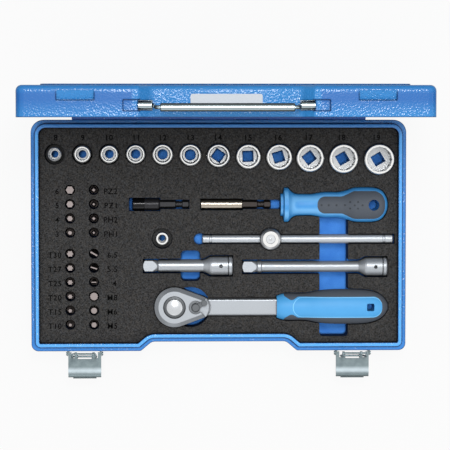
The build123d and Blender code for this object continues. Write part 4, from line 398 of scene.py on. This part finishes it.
def make_marks(name, marks, height):
    """Flat letters. Each word's outline is filled, scaled so that it stands height mm tall, and centred on
    its place: (p - middle) * height / (top - bottom)."""
    points, faces, start = [], [], 0
    for text, x, y in marks:
        curve = bpy.data.curves.new(name, "FONT")
        curve.body, curve.size, curve.resolution_u, curve.offset = text, 1.0, 3, MARK_BOLD
        curve.space_character = MARK_SPACING
        word = bpy.data.objects.new(name, curve)
        flat = bpy.data.meshes.new_from_object(word)
        at = np.zeros(len(flat.vertices) * 3)
        flat.vertices.foreach_get("co", at)
        at = at.reshape(-1, 3)
        at = (at - (at.min(0) + at.max(0)) / 2) * height * MM / np.ptp(at[:, 1])
        points.append(at + (x * MM, y * MM, foam_top_z + MARK_LIFT))
        faces += [[start + v for v in polygon.vertices] for polygon in flat.polygons]
        start += len(at)
        bpy.data.objects.remove(word)
    mesh = bpy.data.meshes.new(name)
    mesh.from_pydata(np.concatenate(points).tolist(), [], faces)
    mesh.materials.append(milled)
    piece = bpy.data.objects.new(name, mesh)
    bpy.context.scene.collection.objects.link(piece)
    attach(piece, "case")


make_marks("socket_size_marks", [(t, x, SOCKET_MARK_Y) for t, x in SOCKET_MARKS.items()],
           SOCKET_MARK_HEIGHT)
make_marks("bit_size_marks", [(t, x, y - BIT_MARK_DROP) for t, x, y in BIT_MARKS], BIT_MARK_HEIGHT)


# ---------------------------------------------------------------- pad in the lid
# A slab of open-cell polyurethane glued behind the lid's panel, which holds the tools down when the case is
# shut. Its edges are hot-wire cut and rounded, its face is slightly uneven, and its cells are coarse.
PAD_ROUND = 3.0 * MM
PAD_CORNER = 8.0 * MM
PAD_WAVE, WAVE_X, WAVE_Z = 0.25 * MM, 11.0 * MM, 9.0 * MM
PAD_GREY, PAD_LIGHT = "#2D2E30", "#55575A"
PAD_RINGS, PAD_SIDE_STEPS, PAD_CORNER_STEPS = 26, 28, 8

pad_foam, tree, place = start_material("open_cell_polyurethane_foam_grey")
pores = add_node(tree, "ShaderNodeTexVoronoi", {"Vector": place, "Scale": 1 / (1.3 * MM)})
fuzz = add_node(tree, "ShaderNodeTexNoise", {"Vector": place, "Scale": 1 / (0.5 * MM), "Detail": 3.0})
tint = add_node(tree, "ShaderNodeMixRGB", {
    "Fac": fuzz.outputs["Fac"], "Color1": linear(PAD_GREY), "Color2": linear(PAD_LIGHT)})
bump = add_node(tree, "ShaderNodeBump", {
    "Height": pores.outputs["Distance"], "Strength": 0.7, "Distance": 0.4 * MM})
shader = add_node(tree, "ShaderNodeBsdfPrincipled", {
    "Base Color": tint.outputs["Color"], "Roughness": 0.95, "Specular IOR Level": 0.15,
    "Normal": bump.outputs["Normal"]})
add_node(tree, "ShaderNodeOutputMaterial", {"Surface": shader.outputs["BSDF"]})


def rounded_slab(low, high):
    """Closed slab that stands across Y. Rings of a rounded rectangle: each ring is the outline drawn in by d
    and laid at depth y. From the front's centre d falls to PAD_ROUND on the face, then follows a quarter
    circle to the side, runs back, and closes over the rear. The face is lifted by two slow sines' product."""
    half_x, half_z = (high.x - low.x) / 2, (high.z - low.z) / 2
    centre = ((low.x + high.x) / 2, (low.z + high.z) / 2)
    side = np.linspace(0, 1, PAD_SIDE_STEPS, endpoint=False)
    turn = np.linspace(0, np.pi / 2, PAD_CORNER_STEPS, endpoint=False)
    cx, cz, r = half_x - PAD_CORNER, half_z - PAD_CORNER, PAD_CORNER
    outline = []
    for k in range(4):
        a = turn + k * np.pi / 2
        sx, sz = ((1, 1), (-1, 1), (-1, -1), (1, -1))[k]
        corner = np.stack([sx * cx + r * np.cos(a), sz * cz + r * np.sin(a)], 1)
        nx, nz = ((-1, 1), (-1, -1), (1, -1), (1, 1))[k]
        end = np.stack([sx * cx + r * np.cos(a[0] + np.pi / 2), sz * cz + r * np.sin(a[0] + np.pi / 2)])
        after = np.stack([nx * cx + r * np.cos(a[0] + np.pi / 2), nz * cz + r * np.sin(a[0] + np.pi / 2)])
        outline += [corner, end + side[:, None] * (after - end)]
    outline = np.concatenate(outline)
    inner = (half_z - PAD_ROUND) * (1 - (np.arange(1, PAD_RINGS) / PAD_RINGS))
    face = np.stack([inner + PAD_ROUND, np.zeros(len(inner))], 1)
    angle = np.linspace(0, np.pi / 2, 7)
    edge = np.stack([PAD_ROUND * (1 - np.sin(angle)), PAD_ROUND * (1 - np.cos(angle))], 1)
    thick = high.y - low.y
    rear = np.array([[0.0, thick], [0.5 * half_z, thick]])
    rings = np.concatenate([face, edge, rear])
    plan = outline[None] * (1 - rings[:, 0, None, None] / np.array([half_x, half_z]))
    depth = low.y + rings[:, 1, None] + np.zeros(len(outline))
    wave = PAD_WAVE * (1 - np.sin(plan[..., 0] / WAVE_X) * np.sin(plan[..., 1] / WAVE_Z + 0.4))
    depth = depth + np.where(rings[:, 1, None] < PAD_ROUND, wave, 0)
    points = np.stack([plan[..., 0] + centre[0], depth, plan[..., 1] + centre[1]], -1).reshape(-1, 3)
    count, total = len(outline), len(rings)
    i, j = np.meshgrid(np.arange(total - 1), np.arange(count), indexing="ij")
    i, j = i.ravel(), j.ravel()
    k = (j + 1) % count
    quads = np.stack([i * count + j, i * count + k, (i + 1) * count + k, (i + 1) * count + j], 1)
    caps = [list(range(count))[::-1], list(range((total - 1) * count, total * count))]
    return points, quads.tolist() + caps


points, faces = rounded_slab(*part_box("lid_pad"))
mesh = bpy.data.meshes.new("lid_foam_pad")
mesh.from_pydata(points.tolist(), [], faces)
mesh.shade_smooth()
mesh.materials.append(pad_foam)
lid_pad = bpy.data.objects.new("lid_foam_pad", mesh)
bpy.context.scene.collection.objects.link(lid_pad)
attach(lid_pad, "lid")
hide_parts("lid_pad")


# ---------------------------------------------------------------- sockets
# Cold-forged chrome vanadium steel, tumbled, then nickel and satin chrome plated, as are the bit adaptor and
# the T-handle's head. Only the upper face is ground bright. The walls keep the duller tumbled finish. The
# shoulder between the nose and the wider drive end of the small sockets is painted a flat grey, as painted
# shade deep in the pocket.
SATIN_CHROME, GROUND_CHROME, SHOULDER_PAINTED_SHADE = "#C9CBCC", "#F0F0EE", "#4A4A4A"
ADAPTOR_CHROME, HEAD_CHROME = "#77797B", "#B2B4B6"
ADAPTOR_EYE, HEAD_EYE = 3.7 * MM, 4.0 * MM  # inside this radius the face isn't ground
FACE_FROM, FACE_FULL = 0.25 * MM, 0.05 * MM  # below the upper face
SHOULDER_WIDTH, SHOULDER_DROP = 2.8 * MM, 3.0 * MM
SOCKETS = [f"socket_{n}" for n in range(8, 20)]

for name, turned, eye in (
    *((name, SATIN_CHROME, 0.0) for name in SOCKETS),
    ("bit_adaptor", ADAPTOR_CHROME, ADAPTOR_EYE),
    ("t_handle_head", HEAD_CHROME, HEAD_EYE),
):
    low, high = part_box(name)
    centre = ((low.x + high.x) / 2, (low.y + high.y) / 2, 0.0)
    socket_chrome, tree, place = start_material(f"satin_chrome_with_ground_face_{name}")
    height = add_node(tree, "ShaderNodeSeparateXYZ", {"Vector": place})
    flat = add_node(tree, "ShaderNodeVectorMath", {0: place, 1: (1.0, 1.0, 0.0)}, operation="MULTIPLY")
    radius = add_node(tree, "ShaderNodeVectorMath", {
        0: flat.outputs["Vector"], 1: centre}, operation="DISTANCE")
    face = add_node(tree, "ShaderNodeMapRange", {
        "Value": height.outputs["Z"], "From Min": high.z - FACE_FROM, "From Max": high.z - FACE_FULL})
    ring = add_node(tree, "ShaderNodeMath", {0: radius.outputs["Value"], 1: eye}, operation="GREATER_THAN")
    ground = add_node(tree, "ShaderNodeMath", {
        0: face.outputs["Result"], 1: ring.outputs["Value"]}, operation="MULTIPLY")
    tumble = add_node(tree, "ShaderNodeTexNoise", {
        "Vector": place, "Scale": 1 / (0.25 * MM), "Detail": 3.0})
    gloss = add_node(tree, "ShaderNodeMapRange", {
        "Value": ground.outputs["Value"], "To Min": 0.36, "To Max": 0.14})
    tint = add_node(tree, "ShaderNodeMixRGB", {
        "Fac": ground.outputs["Value"], "Color1": linear(turned), "Color2": linear(GROUND_CHROME)})
    bump = add_node(tree, "ShaderNodeBump", {
        "Height": tumble.outputs["Fac"], "Strength": 0.2, "Distance": 0.03 * MM})
    plated = add_node(tree, "ShaderNodeBsdfPrincipled", {
        "Base Color": tint.outputs["Color"], "Metallic": 1.0, "Roughness": gloss.outputs["Result"],
        "Normal": bump.outputs["Normal"]})
    # Painted shade: the small sockets' shoulder is a flat grey instead of chrome.
    shoulder_shade = add_node(tree, "ShaderNodeBsdfDiffuse", {"Color": linear(SHOULDER_PAINTED_SHADE)})
    outer = add_node(tree, "ShaderNodeMath", {
        0: radius.outputs["Value"], 1: (high.x - low.x) / 2 - SHOULDER_WIDTH}, operation="GREATER_THAN")
    below = add_node(tree, "ShaderNodeMath", {
        0: height.outputs["Z"], 1: high.z - SHOULDER_DROP}, operation="LESS_THAN")
    facing = add_node(tree, "ShaderNodeSeparateXYZ", {
        "Vector": add_node(tree, "ShaderNodeNewGeometry").outputs["True Normal"]})
    upward = add_node(tree, "ShaderNodeMath", {0: facing.outputs["Z"], 1: 0.2}, operation="GREATER_THAN")
    share = add_node(tree, "ShaderNodeMath", {
        0: outer.outputs["Value"], 1: below.outputs["Value"]}, operation="MULTIPLY")
    share = add_node(tree, "ShaderNodeMath", {
        0: share.outputs["Value"], 1: upward.outputs["Value"]}, operation="MULTIPLY")
    mixed = add_node(tree, "ShaderNodeMixShader", {
        0: share.outputs["Value"], 1: plated.outputs["BSDF"], 2: shoulder_shade.outputs["BSDF"]})
    coat(socket_chrome, mixed.outputs["Shader"], name)


# ---------------------------------------------------------------- screwdriver bits
# Hardened tool steel, shot blasted after heat treatment: a matt warm grey that turns lighter towards the top,
# at the tips.
BIT_STEEL, BIT_TIP = "#3E3937", "#8D8482"
TIP_FROM, TIP_FULL = 31.5 * MM, 34.0 * MM
BITS = ("hex_bits", "torx_bits", "pozidriv_bits", "phillips_bits", "slotted_bits", "spline_bits")

bit_steel, tree, place = start_material("shot_blasted_tool_steel")
blast = add_node(tree, "ShaderNodeTexNoise", {"Vector": place, "Scale": 1 / (0.3 * MM), "Detail": 4.0})
height = add_node(tree, "ShaderNodeSeparateXYZ", {"Vector": place})
tip = add_node(tree, "ShaderNodeMapRange", {
    "Value": height.outputs["Z"], "From Min": TIP_FROM, "From Max": TIP_FULL})
tint = add_node(tree, "ShaderNodeMixRGB", {
    "Fac": tip.outputs["Result"], "Color1": linear(BIT_STEEL), "Color2": linear(BIT_TIP)})
bump = add_node(tree, "ShaderNodeBump", {
    "Height": blast.outputs["Fac"], "Strength": 0.4, "Distance": 0.05 * MM})
shader = add_node(tree, "ShaderNodeBsdfPrincipled", {
    "Base Color": tint.outputs["Color"], "Metallic": 0.9, "Roughness": 0.5,
    "Normal": bump.outputs["Normal"]})
coat(bit_steel, shader.outputs["BSDF"], *BITS, "magnet_holder_body", "ratchet_pawl")


# ---------------------------------------------------------------- chrome tools
# The T-handle's bar, the extension bars and the ratchet are forged and turned chrome vanadium steel in satin
# chrome too, with the faint tumbling pits of larger faces. Each part's tone is scaled by a painted brightness
# of its own, and painted shade darkens its grooves, edges and slopes.
SATIN_DARK, SATIN_LIGHT = "#8F949A", "#BFC4C9"
GROOVE = 2.5 * MM  # painted shade darkens what is narrower than this
CORNER = 0.7 * MM
PITS, SHEEN = 0.5 * MM, 12.0 * MM

# For each finish: its painted brightness, how bright its slopes are against its level faces as painted shade,
# and its nodes.
for name, brightness, slope, owners in (
    ("satin_chrome_plate", 0.97, 0.9, ("extension_short", "extension_long")),
    ("bright_chrome_plate", 1.12, 1.0, ("t_handle_bar",)),
    ("sand_blasted_chrome_plate", 0.88, 0.45, ("ratchet_body",)),
    ("brushed_chrome_plate", 1.3, 0.38, ("ratchet_cover",)),
):
    chrome, tree, place = start_material(name)
    tumble = add_node(tree, "ShaderNodeTexNoise", {"Vector": place, "Scale": 1 / PITS, "Detail": 4.0})
    wide = add_node(tree, "ShaderNodeTexNoise", {"Vector": place, "Scale": 1 / SHEEN, "Detail": 2.0})
    gloss = add_node(tree, "ShaderNodeMapRange", {
        "Value": wide.outputs["Fac"], "To Min": 0.34, "To Max": 0.44})
    tint = add_node(tree, "ShaderNodeMixRGB", {
        "Fac": tumble.outputs["Fac"], "Color1": linear(SATIN_DARK), "Color2": linear(SATIN_LIGHT)})
    # Painted shade: grooves, slopes and rounded edges darken the tone, and a brightness above one lightens
    # it.
    groove = add_node(tree, "ShaderNodeAmbientOcclusion", {"Distance": GROOVE}, samples=8)
    unshaded = add_node(tree, "ShaderNodeMapRange", {
        "Value": groove.outputs["AO"], "From Min": 0.3, "From Max": 0.85, "To Min": 0.12,
        "To Max": brightness})
    facing = add_node(tree, "ShaderNodeSeparateXYZ", {
        "Vector": add_node(tree, "ShaderNodeNewGeometry").outputs["Normal"]})
    level = add_node(tree, "ShaderNodeMapRange", {
        "Value": facing.outputs["Z"], "From Min": 0.8, "From Max": 0.99, "To Min": slope, "To Max": 1.0})
    value = add_node(tree, "ShaderNodeMath", {
        0: unshaded.outputs["Result"], 1: level.outputs["Result"]}, operation="MULTIPLY")
    corner = add_node(tree, "ShaderNodeBevel", {"Radius": CORNER}, samples=6)
    turn = add_node(tree, "ShaderNodeVectorMath", {
        0: corner.outputs["Normal"], 1: add_node(tree, "ShaderNodeNewGeometry").outputs["True Normal"]},
        operation="DOT_PRODUCT")
    outline = add_node(tree, "ShaderNodeMapRange", {
        "Value": turn.outputs["Value"], "From Min": 0.8, "From Max": 0.98, "To Min": 0.3, "To Max": 1.0})
    value = add_node(tree, "ShaderNodeMath", {
        0: value.outputs["Value"], 1: outline.outputs["Result"]}, operation="MULTIPLY")
    painted_light = add_node(tree, "ShaderNodeHueSaturation", {
        "Color": tint.outputs["Color"], "Value": value.outputs["Value"]})
    bump = add_node(tree, "ShaderNodeBump", {
        "Height": tumble.outputs["Fac"], "Strength": 0.3, "Distance": 0.06 * MM})
    shader = add_node(tree, "ShaderNodeBsdfPrincipled", {
        "Base Color": painted_light.outputs["Color"], "Metallic": 0.7, "Roughness": gloss.outputs["Result"],
        "Normal": bump.outputs["Normal"]})
    coat(chrome, shader.outputs["BSDF"], *owners)


# ---------------------------------------------------------------- ratchet mechanism
# The drive gear and the reversing lever are hardened and left in a dark grey phosphate finish, matt and a
# little grainy, with painted shade in their narrow gaps. The release button's dome alone is polished, and
# mirrors the light above it.
PHOSPHATE, PHOSPHATE_LIGHT, GAP_PAINTED_SHADE = "#4E5153", "#707376", "#0A0A0A"
GAP = 1.5 * MM  # painted shade fills what is narrower than this
DOME_CHROME = "#CDD0D3"

phosphate, tree, place = start_material("phosphated_tool_steel_dark_grey")
crystal = add_node(tree, "ShaderNodeTexNoise", {"Vector": place, "Scale": 1 / (0.3 * MM), "Detail": 3.0})
tint = add_node(tree, "ShaderNodeMixRGB", {
    "Fac": crystal.outputs["Fac"], "Color1": linear(PHOSPHATE), "Color2": linear(PHOSPHATE_LIGHT)})
# Painted shade in the narrow gaps.
groove = add_node(tree, "ShaderNodeAmbientOcclusion", {"Distance": GAP}, samples=8)
unshaded = add_node(tree, "ShaderNodeMapRange", {
    "Value": groove.outputs["AO"], "From Min": 0.35, "From Max": 0.8})
tint = add_node(tree, "ShaderNodeMixRGB", {
    "Fac": unshaded.outputs["Result"], "Color1": linear(GAP_PAINTED_SHADE), "Color2": tint.outputs["Color"]})
bump = add_node(tree, "ShaderNodeBump", {
    "Height": crystal.outputs["Fac"], "Strength": 0.3, "Distance": 0.04 * MM})
shader = add_node(tree, "ShaderNodeBsdfPrincipled", {
    "Base Color": tint.outputs["Color"], "Metallic": 0.9, "Roughness": 0.45,
    "Normal": bump.outputs["Normal"]})
coat(phosphate, shader.outputs["BSDF"], "ratchet_gear", "ratchet_lever")

polished, tree, place = start_material("polished_chrome_dome")
haze = add_node(tree, "ShaderNodeTexNoise", {"Vector": place, "Scale": 1 / (0.5 * MM), "Detail": 2.0})
gloss = add_node(tree, "ShaderNodeMapRange", {"Value": haze.outputs["Fac"], "To Min": 0.2, "To Max": 0.28})
shader = add_node(tree, "ShaderNodeBsdfPrincipled", {
    "Base Color": linear(DOME_CHROME), "Metallic": 1.0, "Roughness": gloss.outputs["Result"]})
coat(polished, shader.outputs["BSDF"], "ratchet_button")


# ---------------------------------------------------------------- bit holders
# The quick-change holder is blackened steel with a black oxide bloom; the magnetic one has a thin sleeve of
# turned stainless steel, warm and finely ringed by the tool.
OXIDE_BLACK, OXIDE_SHEEN = "#0B0B0C", "#161618"
OXIDE_GREY, OXIDE_LIGHT = "#1B1B1D", "#323235"
STAINLESS = "#A89F93"

# For each finish: dark and light tone, roughness where it is smooth and where it is worn, and its nodes.
for name, dark, light, rough, wear, owners in (
    ("polished_black_oxide_steel", OXIDE_BLACK, OXIDE_SHEEN, 0.14, 0.24, ("quick_holder_sleeve",)),
    ("black_oxide_steel", OXIDE_GREY, OXIDE_LIGHT, 0.3, 0.45, ("quick_holder_body", "driver_socket")),
):
    blackened, tree, place = start_material(name)
    bloom = add_node(tree, "ShaderNodeTexNoise", {"Vector": place, "Scale": 1 / (1.2 * MM), "Detail": 4.0})
    gloss = add_node(tree, "ShaderNodeMapRange", {
        "Value": bloom.outputs["Fac"], "To Min": rough, "To Max": wear})
    tint = add_node(tree, "ShaderNodeMixRGB", {
        "Fac": bloom.outputs["Fac"], "Color1": linear(dark), "Color2": linear(light)})
    shader = add_node(tree, "ShaderNodeBsdfPrincipled", {
        "Base Color": tint.outputs["Color"], "Metallic": 0.6, "Roughness": gloss.outputs["Result"]})
    coat(blackened, shader.outputs["BSDF"], *owners)

stainless, tree, place = start_material("turned_stainless_steel")
stretch = add_node(tree, "ShaderNodeMapping", {"Vector": place, "Scale": (1.0, 0.05, 0.05)})
rings = add_node(tree, "ShaderNodeTexNoise", {
    "Vector": stretch.outputs["Vector"], "Scale": 1 / (0.25 * MM), "Detail": 2.0})
bump = add_node(tree, "ShaderNodeBump", {
    "Height": rings.outputs["Fac"], "Strength": 0.2, "Distance": 0.03 * MM})
shader = add_node(tree, "ShaderNodeBsdfPrincipled", {
    "Base Color": linear(STAINLESS), "Metallic": 1.0, "Roughness": 0.3, "Normal": bump.outputs["Normal"]})
coat(stainless, shader.outputs["BSDF"], "magnet_holder_sleeve")


# ---------------------------------------------------------------- screwdriver and ratchet handles
# Two-shot handles: a hard blue polypropylene core that was moulded first, and a dark grey soft elastomer
# moulded over it. The core has a low moulded gloss, the elastomer a fine spark-eroded grain. The core's
# rounded flanks carry a painted sheen.
PLASTIC_BLUE, PLASTIC_LIGHT, PLASTIC_PAINTED_SHEEN = "#2E7EBE", "#3A8CCB", "#86C2EC"
FLANK_SHEEN_SHARE = 0.4  # painted sheen makes the blue lighter on the rounded flanks
INLAY_BLUE, INLAY_LIGHT, INLAY_LINE_HIGHLIGHT = "#3C8BC2", "#4494CB", "#6FB4E0"
INLAY_FROM, INLAY_TO, INLAY_HALF, INLAY_LINE = 63.4 * MM, 140.4 * MM, 8.5 * MM, 0.35 * MM
SOFT_GREY, SOFT_LIGHT, DIMPLE_SHADE_GREY = "#3A4048", "#4A5059", "#2A2E33"
DIMPLE_RADIUS = 1.1 * MM
DIMPLES = ([(x, 0.0) for x in (87.4, 93.5, 100.2, 107.3, 115.4, 122.1)]
           + [(x, y) for x in (111.6, 118.3) for y in (-2.85, 2.85)])

polypropylene, tree, place = start_material("moulded_polypropylene_blue")
flow = add_node(tree, "ShaderNodeTexNoise", {"Vector": place, "Scale": 1 / (14 * MM), "Detail": 2.0})
grain = add_node(tree, "ShaderNodeTexNoise", {"Vector": place, "Scale": 1 / (0.35 * MM), "Detail": 2.0})
tint = add_node(tree, "ShaderNodeMixRGB", {
    "Fac": flow.outputs["Fac"], "Color1": linear(PLASTIC_BLUE), "Color2": linear(PLASTIC_LIGHT)})
bump = add_node(tree, "ShaderNodeBump", {
    "Height": grain.outputs["Fac"], "Strength": 0.1, "Distance": 0.03 * MM})
facing = add_node(tree, "ShaderNodeSeparateXYZ", {
    "Vector": add_node(tree, "ShaderNodeNewGeometry").outputs["Normal"]})
# Painted sheen: tilted faces of the core are mixed towards a lighter blue.
round_off = add_node(tree, "ShaderNodeMapRange", {
    "Value": facing.outputs["Z"], "From Min": 0.99, "From Max": 0.9})
flank = add_node(tree, "ShaderNodeMapRange", {
    "Value": facing.outputs["Z"], "From Min": 0.45, "From Max": 0.75})
painted_light = add_node(tree, "ShaderNodeMath", {
    0: round_off.outputs["Result"], 1: flank.outputs["Result"]}, operation="MULTIPLY")
painted_light = add_node(tree, "ShaderNodeMath", {0: painted_light.outputs["Value"], 1: FLANK_SHEEN_SHARE}, operation="MULTIPLY")
tint = add_node(tree, "ShaderNodeMixRGB", {
    "Fac": painted_light.outputs["Value"], "Color1": tint.outputs["Color"], "Color2": linear(PLASTIC_PAINTED_SHEEN)})
shader = add_node(tree, "ShaderNodeBsdfPrincipled", {
    "Base Color": tint.outputs["Color"], "Roughness": 0.45, "Normal": bump.outputs["Normal"]})
coat(polypropylene, shader.outputs["BSDF"], "driver_handle")

# The ratchet's inlay has a raised line round it: a rounded rectangle, drawn where the distance to it is
# small, bumped as a ridge and painted lighter as a painted highlight.
light_polypropylene, tree, place = start_material("moulded_polypropylene_light_blue")
flow = add_node(tree, "ShaderNodeTexNoise", {"Vector": place, "Scale": 1 / (14 * MM), "Detail": 2.0})
grain = add_node(tree, "ShaderNodeTexNoise", {"Vector": place, "Scale": 1 / (0.35 * MM), "Detail": 2.0})
tint = add_node(tree, "ShaderNodeMixRGB", {
    "Fac": flow.outputs["Fac"], "Color1": linear(INLAY_BLUE), "Color2": linear(INLAY_LIGHT)})
grip_low, grip_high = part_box("ratchet_grip")
grip_y = (grip_low.y + grip_high.y) / 2
away = add_node(tree, "ShaderNodeVectorMath", {
    0: place, 1: ((INLAY_FROM + INLAY_TO) / 2, grip_y, 0.0)}, operation="SUBTRACT")
away = add_node(tree, "ShaderNodeVectorMath", {0: away.outputs["Vector"]}, operation="ABSOLUTE")
away = add_node(tree, "ShaderNodeVectorMath", {
    0: away.outputs["Vector"], 1: ((INLAY_TO - INLAY_FROM) / 2 - INLAY_HALF, 0.0, 1.0)},
    operation="SUBTRACT")
away = add_node(tree, "ShaderNodeVectorMath", {
    0: away.outputs["Vector"], 1: (0.0, 0.0, 0.0)}, operation="MAXIMUM")
reach = add_node(tree, "ShaderNodeVectorMath", {0: away.outputs["Vector"]}, operation="LENGTH")
line = add_node(tree, "ShaderNodeMath", {
    0: reach.outputs["Value"], 1: INLAY_HALF, 2: INLAY_LINE}, operation="COMPARE")
edged = add_node(tree, "ShaderNodeMixRGB", {
    "Fac": line.outputs["Value"], "Color1": tint.outputs["Color"], "Color2": linear(INLAY_LINE_HIGHLIGHT)})
bump = add_node(tree, "ShaderNodeBump", {
    "Height": grain.outputs["Fac"], "Strength": 0.1, "Distance": 0.03 * MM})
ridge = add_node(tree, "ShaderNodeBump", {
    "Height": line.outputs["Value"], "Strength": 0.5, "Distance": 0.2 * MM,
    "Normal": bump.outputs["Normal"]})
shader = add_node(tree, "ShaderNodeBsdfPrincipled", {
    "Base Color": edged.outputs["Color"], "Roughness": 0.5, "Normal": ridge.outputs["Normal"]})
coat(light_polypropylene, shader.outputs["BSDF"], "ratchet_handle")

# The elastomer has rows of small round dimples, each a bowl in the bump: the nearest one's distance sets its
# depth, and its darker grey inside is painted shade.
elastomer, tree, place = start_material("soft_elastomer_dark_grey")
grain = add_node(tree, "ShaderNodeTexNoise", {"Vector": place, "Scale": 1 / (0.4 * MM), "Detail": 3.0})
tint = add_node(tree, "ShaderNodeMixRGB", {
    "Fac": grain.outputs["Fac"], "Color1": linear(SOFT_GREY), "Color2": linear(SOFT_LIGHT)})
driver_low, driver_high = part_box("driver_handle")
driver_y = (driver_low.y + driver_high.y) / 2
flat = add_node(tree, "ShaderNodeVectorMath", {0: place, 1: (1.0, 1.0, 0.0)}, operation="MULTIPLY")
nearest = add_node(tree, "ShaderNodeValue")
nearest.outputs[0].default_value = 1.0
for x, y in DIMPLES:
    gap = add_node(tree, "ShaderNodeVectorMath", {
        0: flat.outputs["Vector"], 1: (x * MM, driver_y + y * MM, 0.0)}, operation="DISTANCE")
    nearest = add_node(tree, "ShaderNodeMath", {
        0: nearest.outputs[0], 1: gap.outputs["Value"]}, operation="MINIMUM")
bowl = add_node(tree, "ShaderNodeMapRange", {
    "Value": nearest.outputs[0], "From Min": 0.4 * DIMPLE_RADIUS, "From Max": DIMPLE_RADIUS})
pitted = add_node(tree, "ShaderNodeMixRGB", {
    "Fac": bowl.outputs["Result"], "Color1": linear(DIMPLE_SHADE_GREY), "Color2": tint.outputs["Color"]})
bump = add_node(tree, "ShaderNodeBump", {
    "Height": grain.outputs["Fac"], "Strength": 0.3, "Distance": 0.05 * MM})
pits = add_node(tree, "ShaderNodeBump", {
    "Height": bowl.outputs["Result"], "Strength": 0.7, "Distance": 0.4 * MM,
    "Normal": bump.outputs["Normal"]})
shader = add_node(tree, "ShaderNodeBsdfPrincipled", {
    "Base Color": pitted.outputs["Color"], "Roughness": 0.7, "Normal": pits.outputs["Normal"]})
coat(elastomer, shader.outputs["BSDF"], "driver_grip", "ratchet_grip")


# ---------------------------------------------------------------- table and light
# A plain white table top under a key light almost straight overhead, which reaches the floors of the pockets,
# and three soft boxes. The sky is bright overhead and darker towards the horizon, so that round bright metal
# is shaded from its crown to its flanks.
TABLE_WHITE, TABLE_HALF, TABLE_Z = "#9A9A9A", 4.0, -0.2 * MM
SUN_TOWARDS, SUN_ENERGY, SUN_SPREAD = Vector((0.07, -0.08, -1.0)), 1.2, 8
SOFTBOX_AIM = Vector((0, 0, 0.03))
TABLE_GLOW, TABLE_SHARE = 1.03, 0.88  # the camera sees this share of it as plain white


def flat_square(name, half, z):
    """Flat square table top: four corners at plus and minus half, z high."""
    corner = np.array([[-1, -1], [1, -1], [1, 1], [-1, 1]]) * half
    mesh = bpy.data.meshes.new(name)
    mesh.from_pydata(np.column_stack([corner, np.full(4, z)]).tolist(), [], [[0, 1, 2, 3]])
    plane = bpy.data.objects.new(name, mesh)
    bpy.context.scene.collection.objects.link(plane)
    return plane


table_top, tree, place = start_material("white_table_top")
rays = add_node(tree, "ShaderNodeLightPath")
paint = add_node(tree, "ShaderNodeBsdfDiffuse", {"Color": linear(TABLE_WHITE)})
glow = add_node(tree, "ShaderNodeEmission", {"Color": (1, 1, 1, 1), "Strength": TABLE_GLOW})
share = add_node(tree, "ShaderNodeMath", {
    0: rays.outputs["Is Camera Ray"], 1: TABLE_SHARE}, operation="MULTIPLY")
mixed = add_node(tree, "ShaderNodeMixShader", {
    0: share.outputs["Value"], 1: paint.outputs["BSDF"], 2: glow.outputs["Emission"]})
add_node(tree, "ShaderNodeOutputMaterial", {"Surface": mixed.outputs["Shader"]})
table = flat_square("table", TABLE_HALF, TABLE_Z)
table.data.materials.append(table_top)

sky = bpy.data.worlds.new("studio")
bpy.context.scene.world = sky
sky.use_nodes = True
tree = sky.node_tree
tree.nodes.clear()
direction = add_node(tree, "ShaderNodeTexCoord")
up = add_node(tree, "ShaderNodeSeparateXYZ", {"Vector": direction.outputs["Generated"]})
dome = add_node(tree, "ShaderNodeMapRange", {
    "Value": up.outputs["Z"], "From Min": 0.05, "From Max": 0.8, "To Min": 0.14, "To Max": 1.0},
    interpolation_type="SMOOTHSTEP")
rays = add_node(tree, "ShaderNodeLightPath")
strength = add_node(tree, "ShaderNodeMix", {
    "Factor": rays.outputs["Is Camera Ray"], "A": dome.outputs["Result"], "B": 1.0})
back = add_node(tree, "ShaderNodeBackground", {"Color": (1, 1, 1, 1), "Strength": strength.outputs[0]})
add_node(tree, "ShaderNodeOutputWorld", {"Surface": back.outputs["Background"]})

sun = bpy.data.lights.new("overhead_key", "SUN")
sun.energy, sun.angle = SUN_ENERGY, np.radians(SUN_SPREAD)
overhead = bpy.data.objects.new("overhead_key", sun)
overhead.rotation_euler = SUN_TOWARDS.to_track_quat("-Z", "Y").to_euler()
overhead.visible_glossy = False
bpy.context.scene.collection.objects.link(overhead)

for name, spot, size, power in (
    ("softbox_back", (0.05, 0.48, 1.75), 0.34, 11.0),
    ("softbox_right", (1.3, -0.3, 0.9), 0.8, 3.0),
    ("softbox_front", (-0.2, -1.5, 0.8), 0.9, 3.0),
):
    lamp = bpy.data.lights.new(name, "AREA")
    lamp.size, lamp.energy = size, power
    softbox = bpy.data.objects.new(name, lamp)
    softbox.location = spot
    softbox.rotation_euler = (SOFTBOX_AIM - Vector(spot)).to_track_quat("-Z", "Y").to_euler()
    softbox.visible_camera = False
    bpy.context.scene.collection.objects.link(softbox)


# ---------------------------------------------------------------- camera
# Nearly straight above the open case, a little to the left and towards the lid.
CAMERA_AT = Vector((-55, 104, 1853)) * MM
CAMERA_AIM = Vector((5.2, 9, 33)) * MM
CAMERA_LENS = 170.3

camera = bpy.data.objects.new("camera", bpy.data.cameras.new("camera"))
forward = (CAMERA_AIM - CAMERA_AT).normalized()
right = forward.cross(Vector((0, 1, 0))).normalized()
upward = right.cross(forward)
aimed = Matrix((right, upward, -forward)).transposed().to_4x4()
camera.matrix_world = Matrix.Translation(CAMERA_AT) @ aimed
camera.data.lens = CAMERA_LENS
camera.data.clip_end = 20
bpy.context.scene.collection.objects.link(camera)
bpy.context.scene.camera = camera
bpy.context.scene.view_settings.view_transform = "Standard"
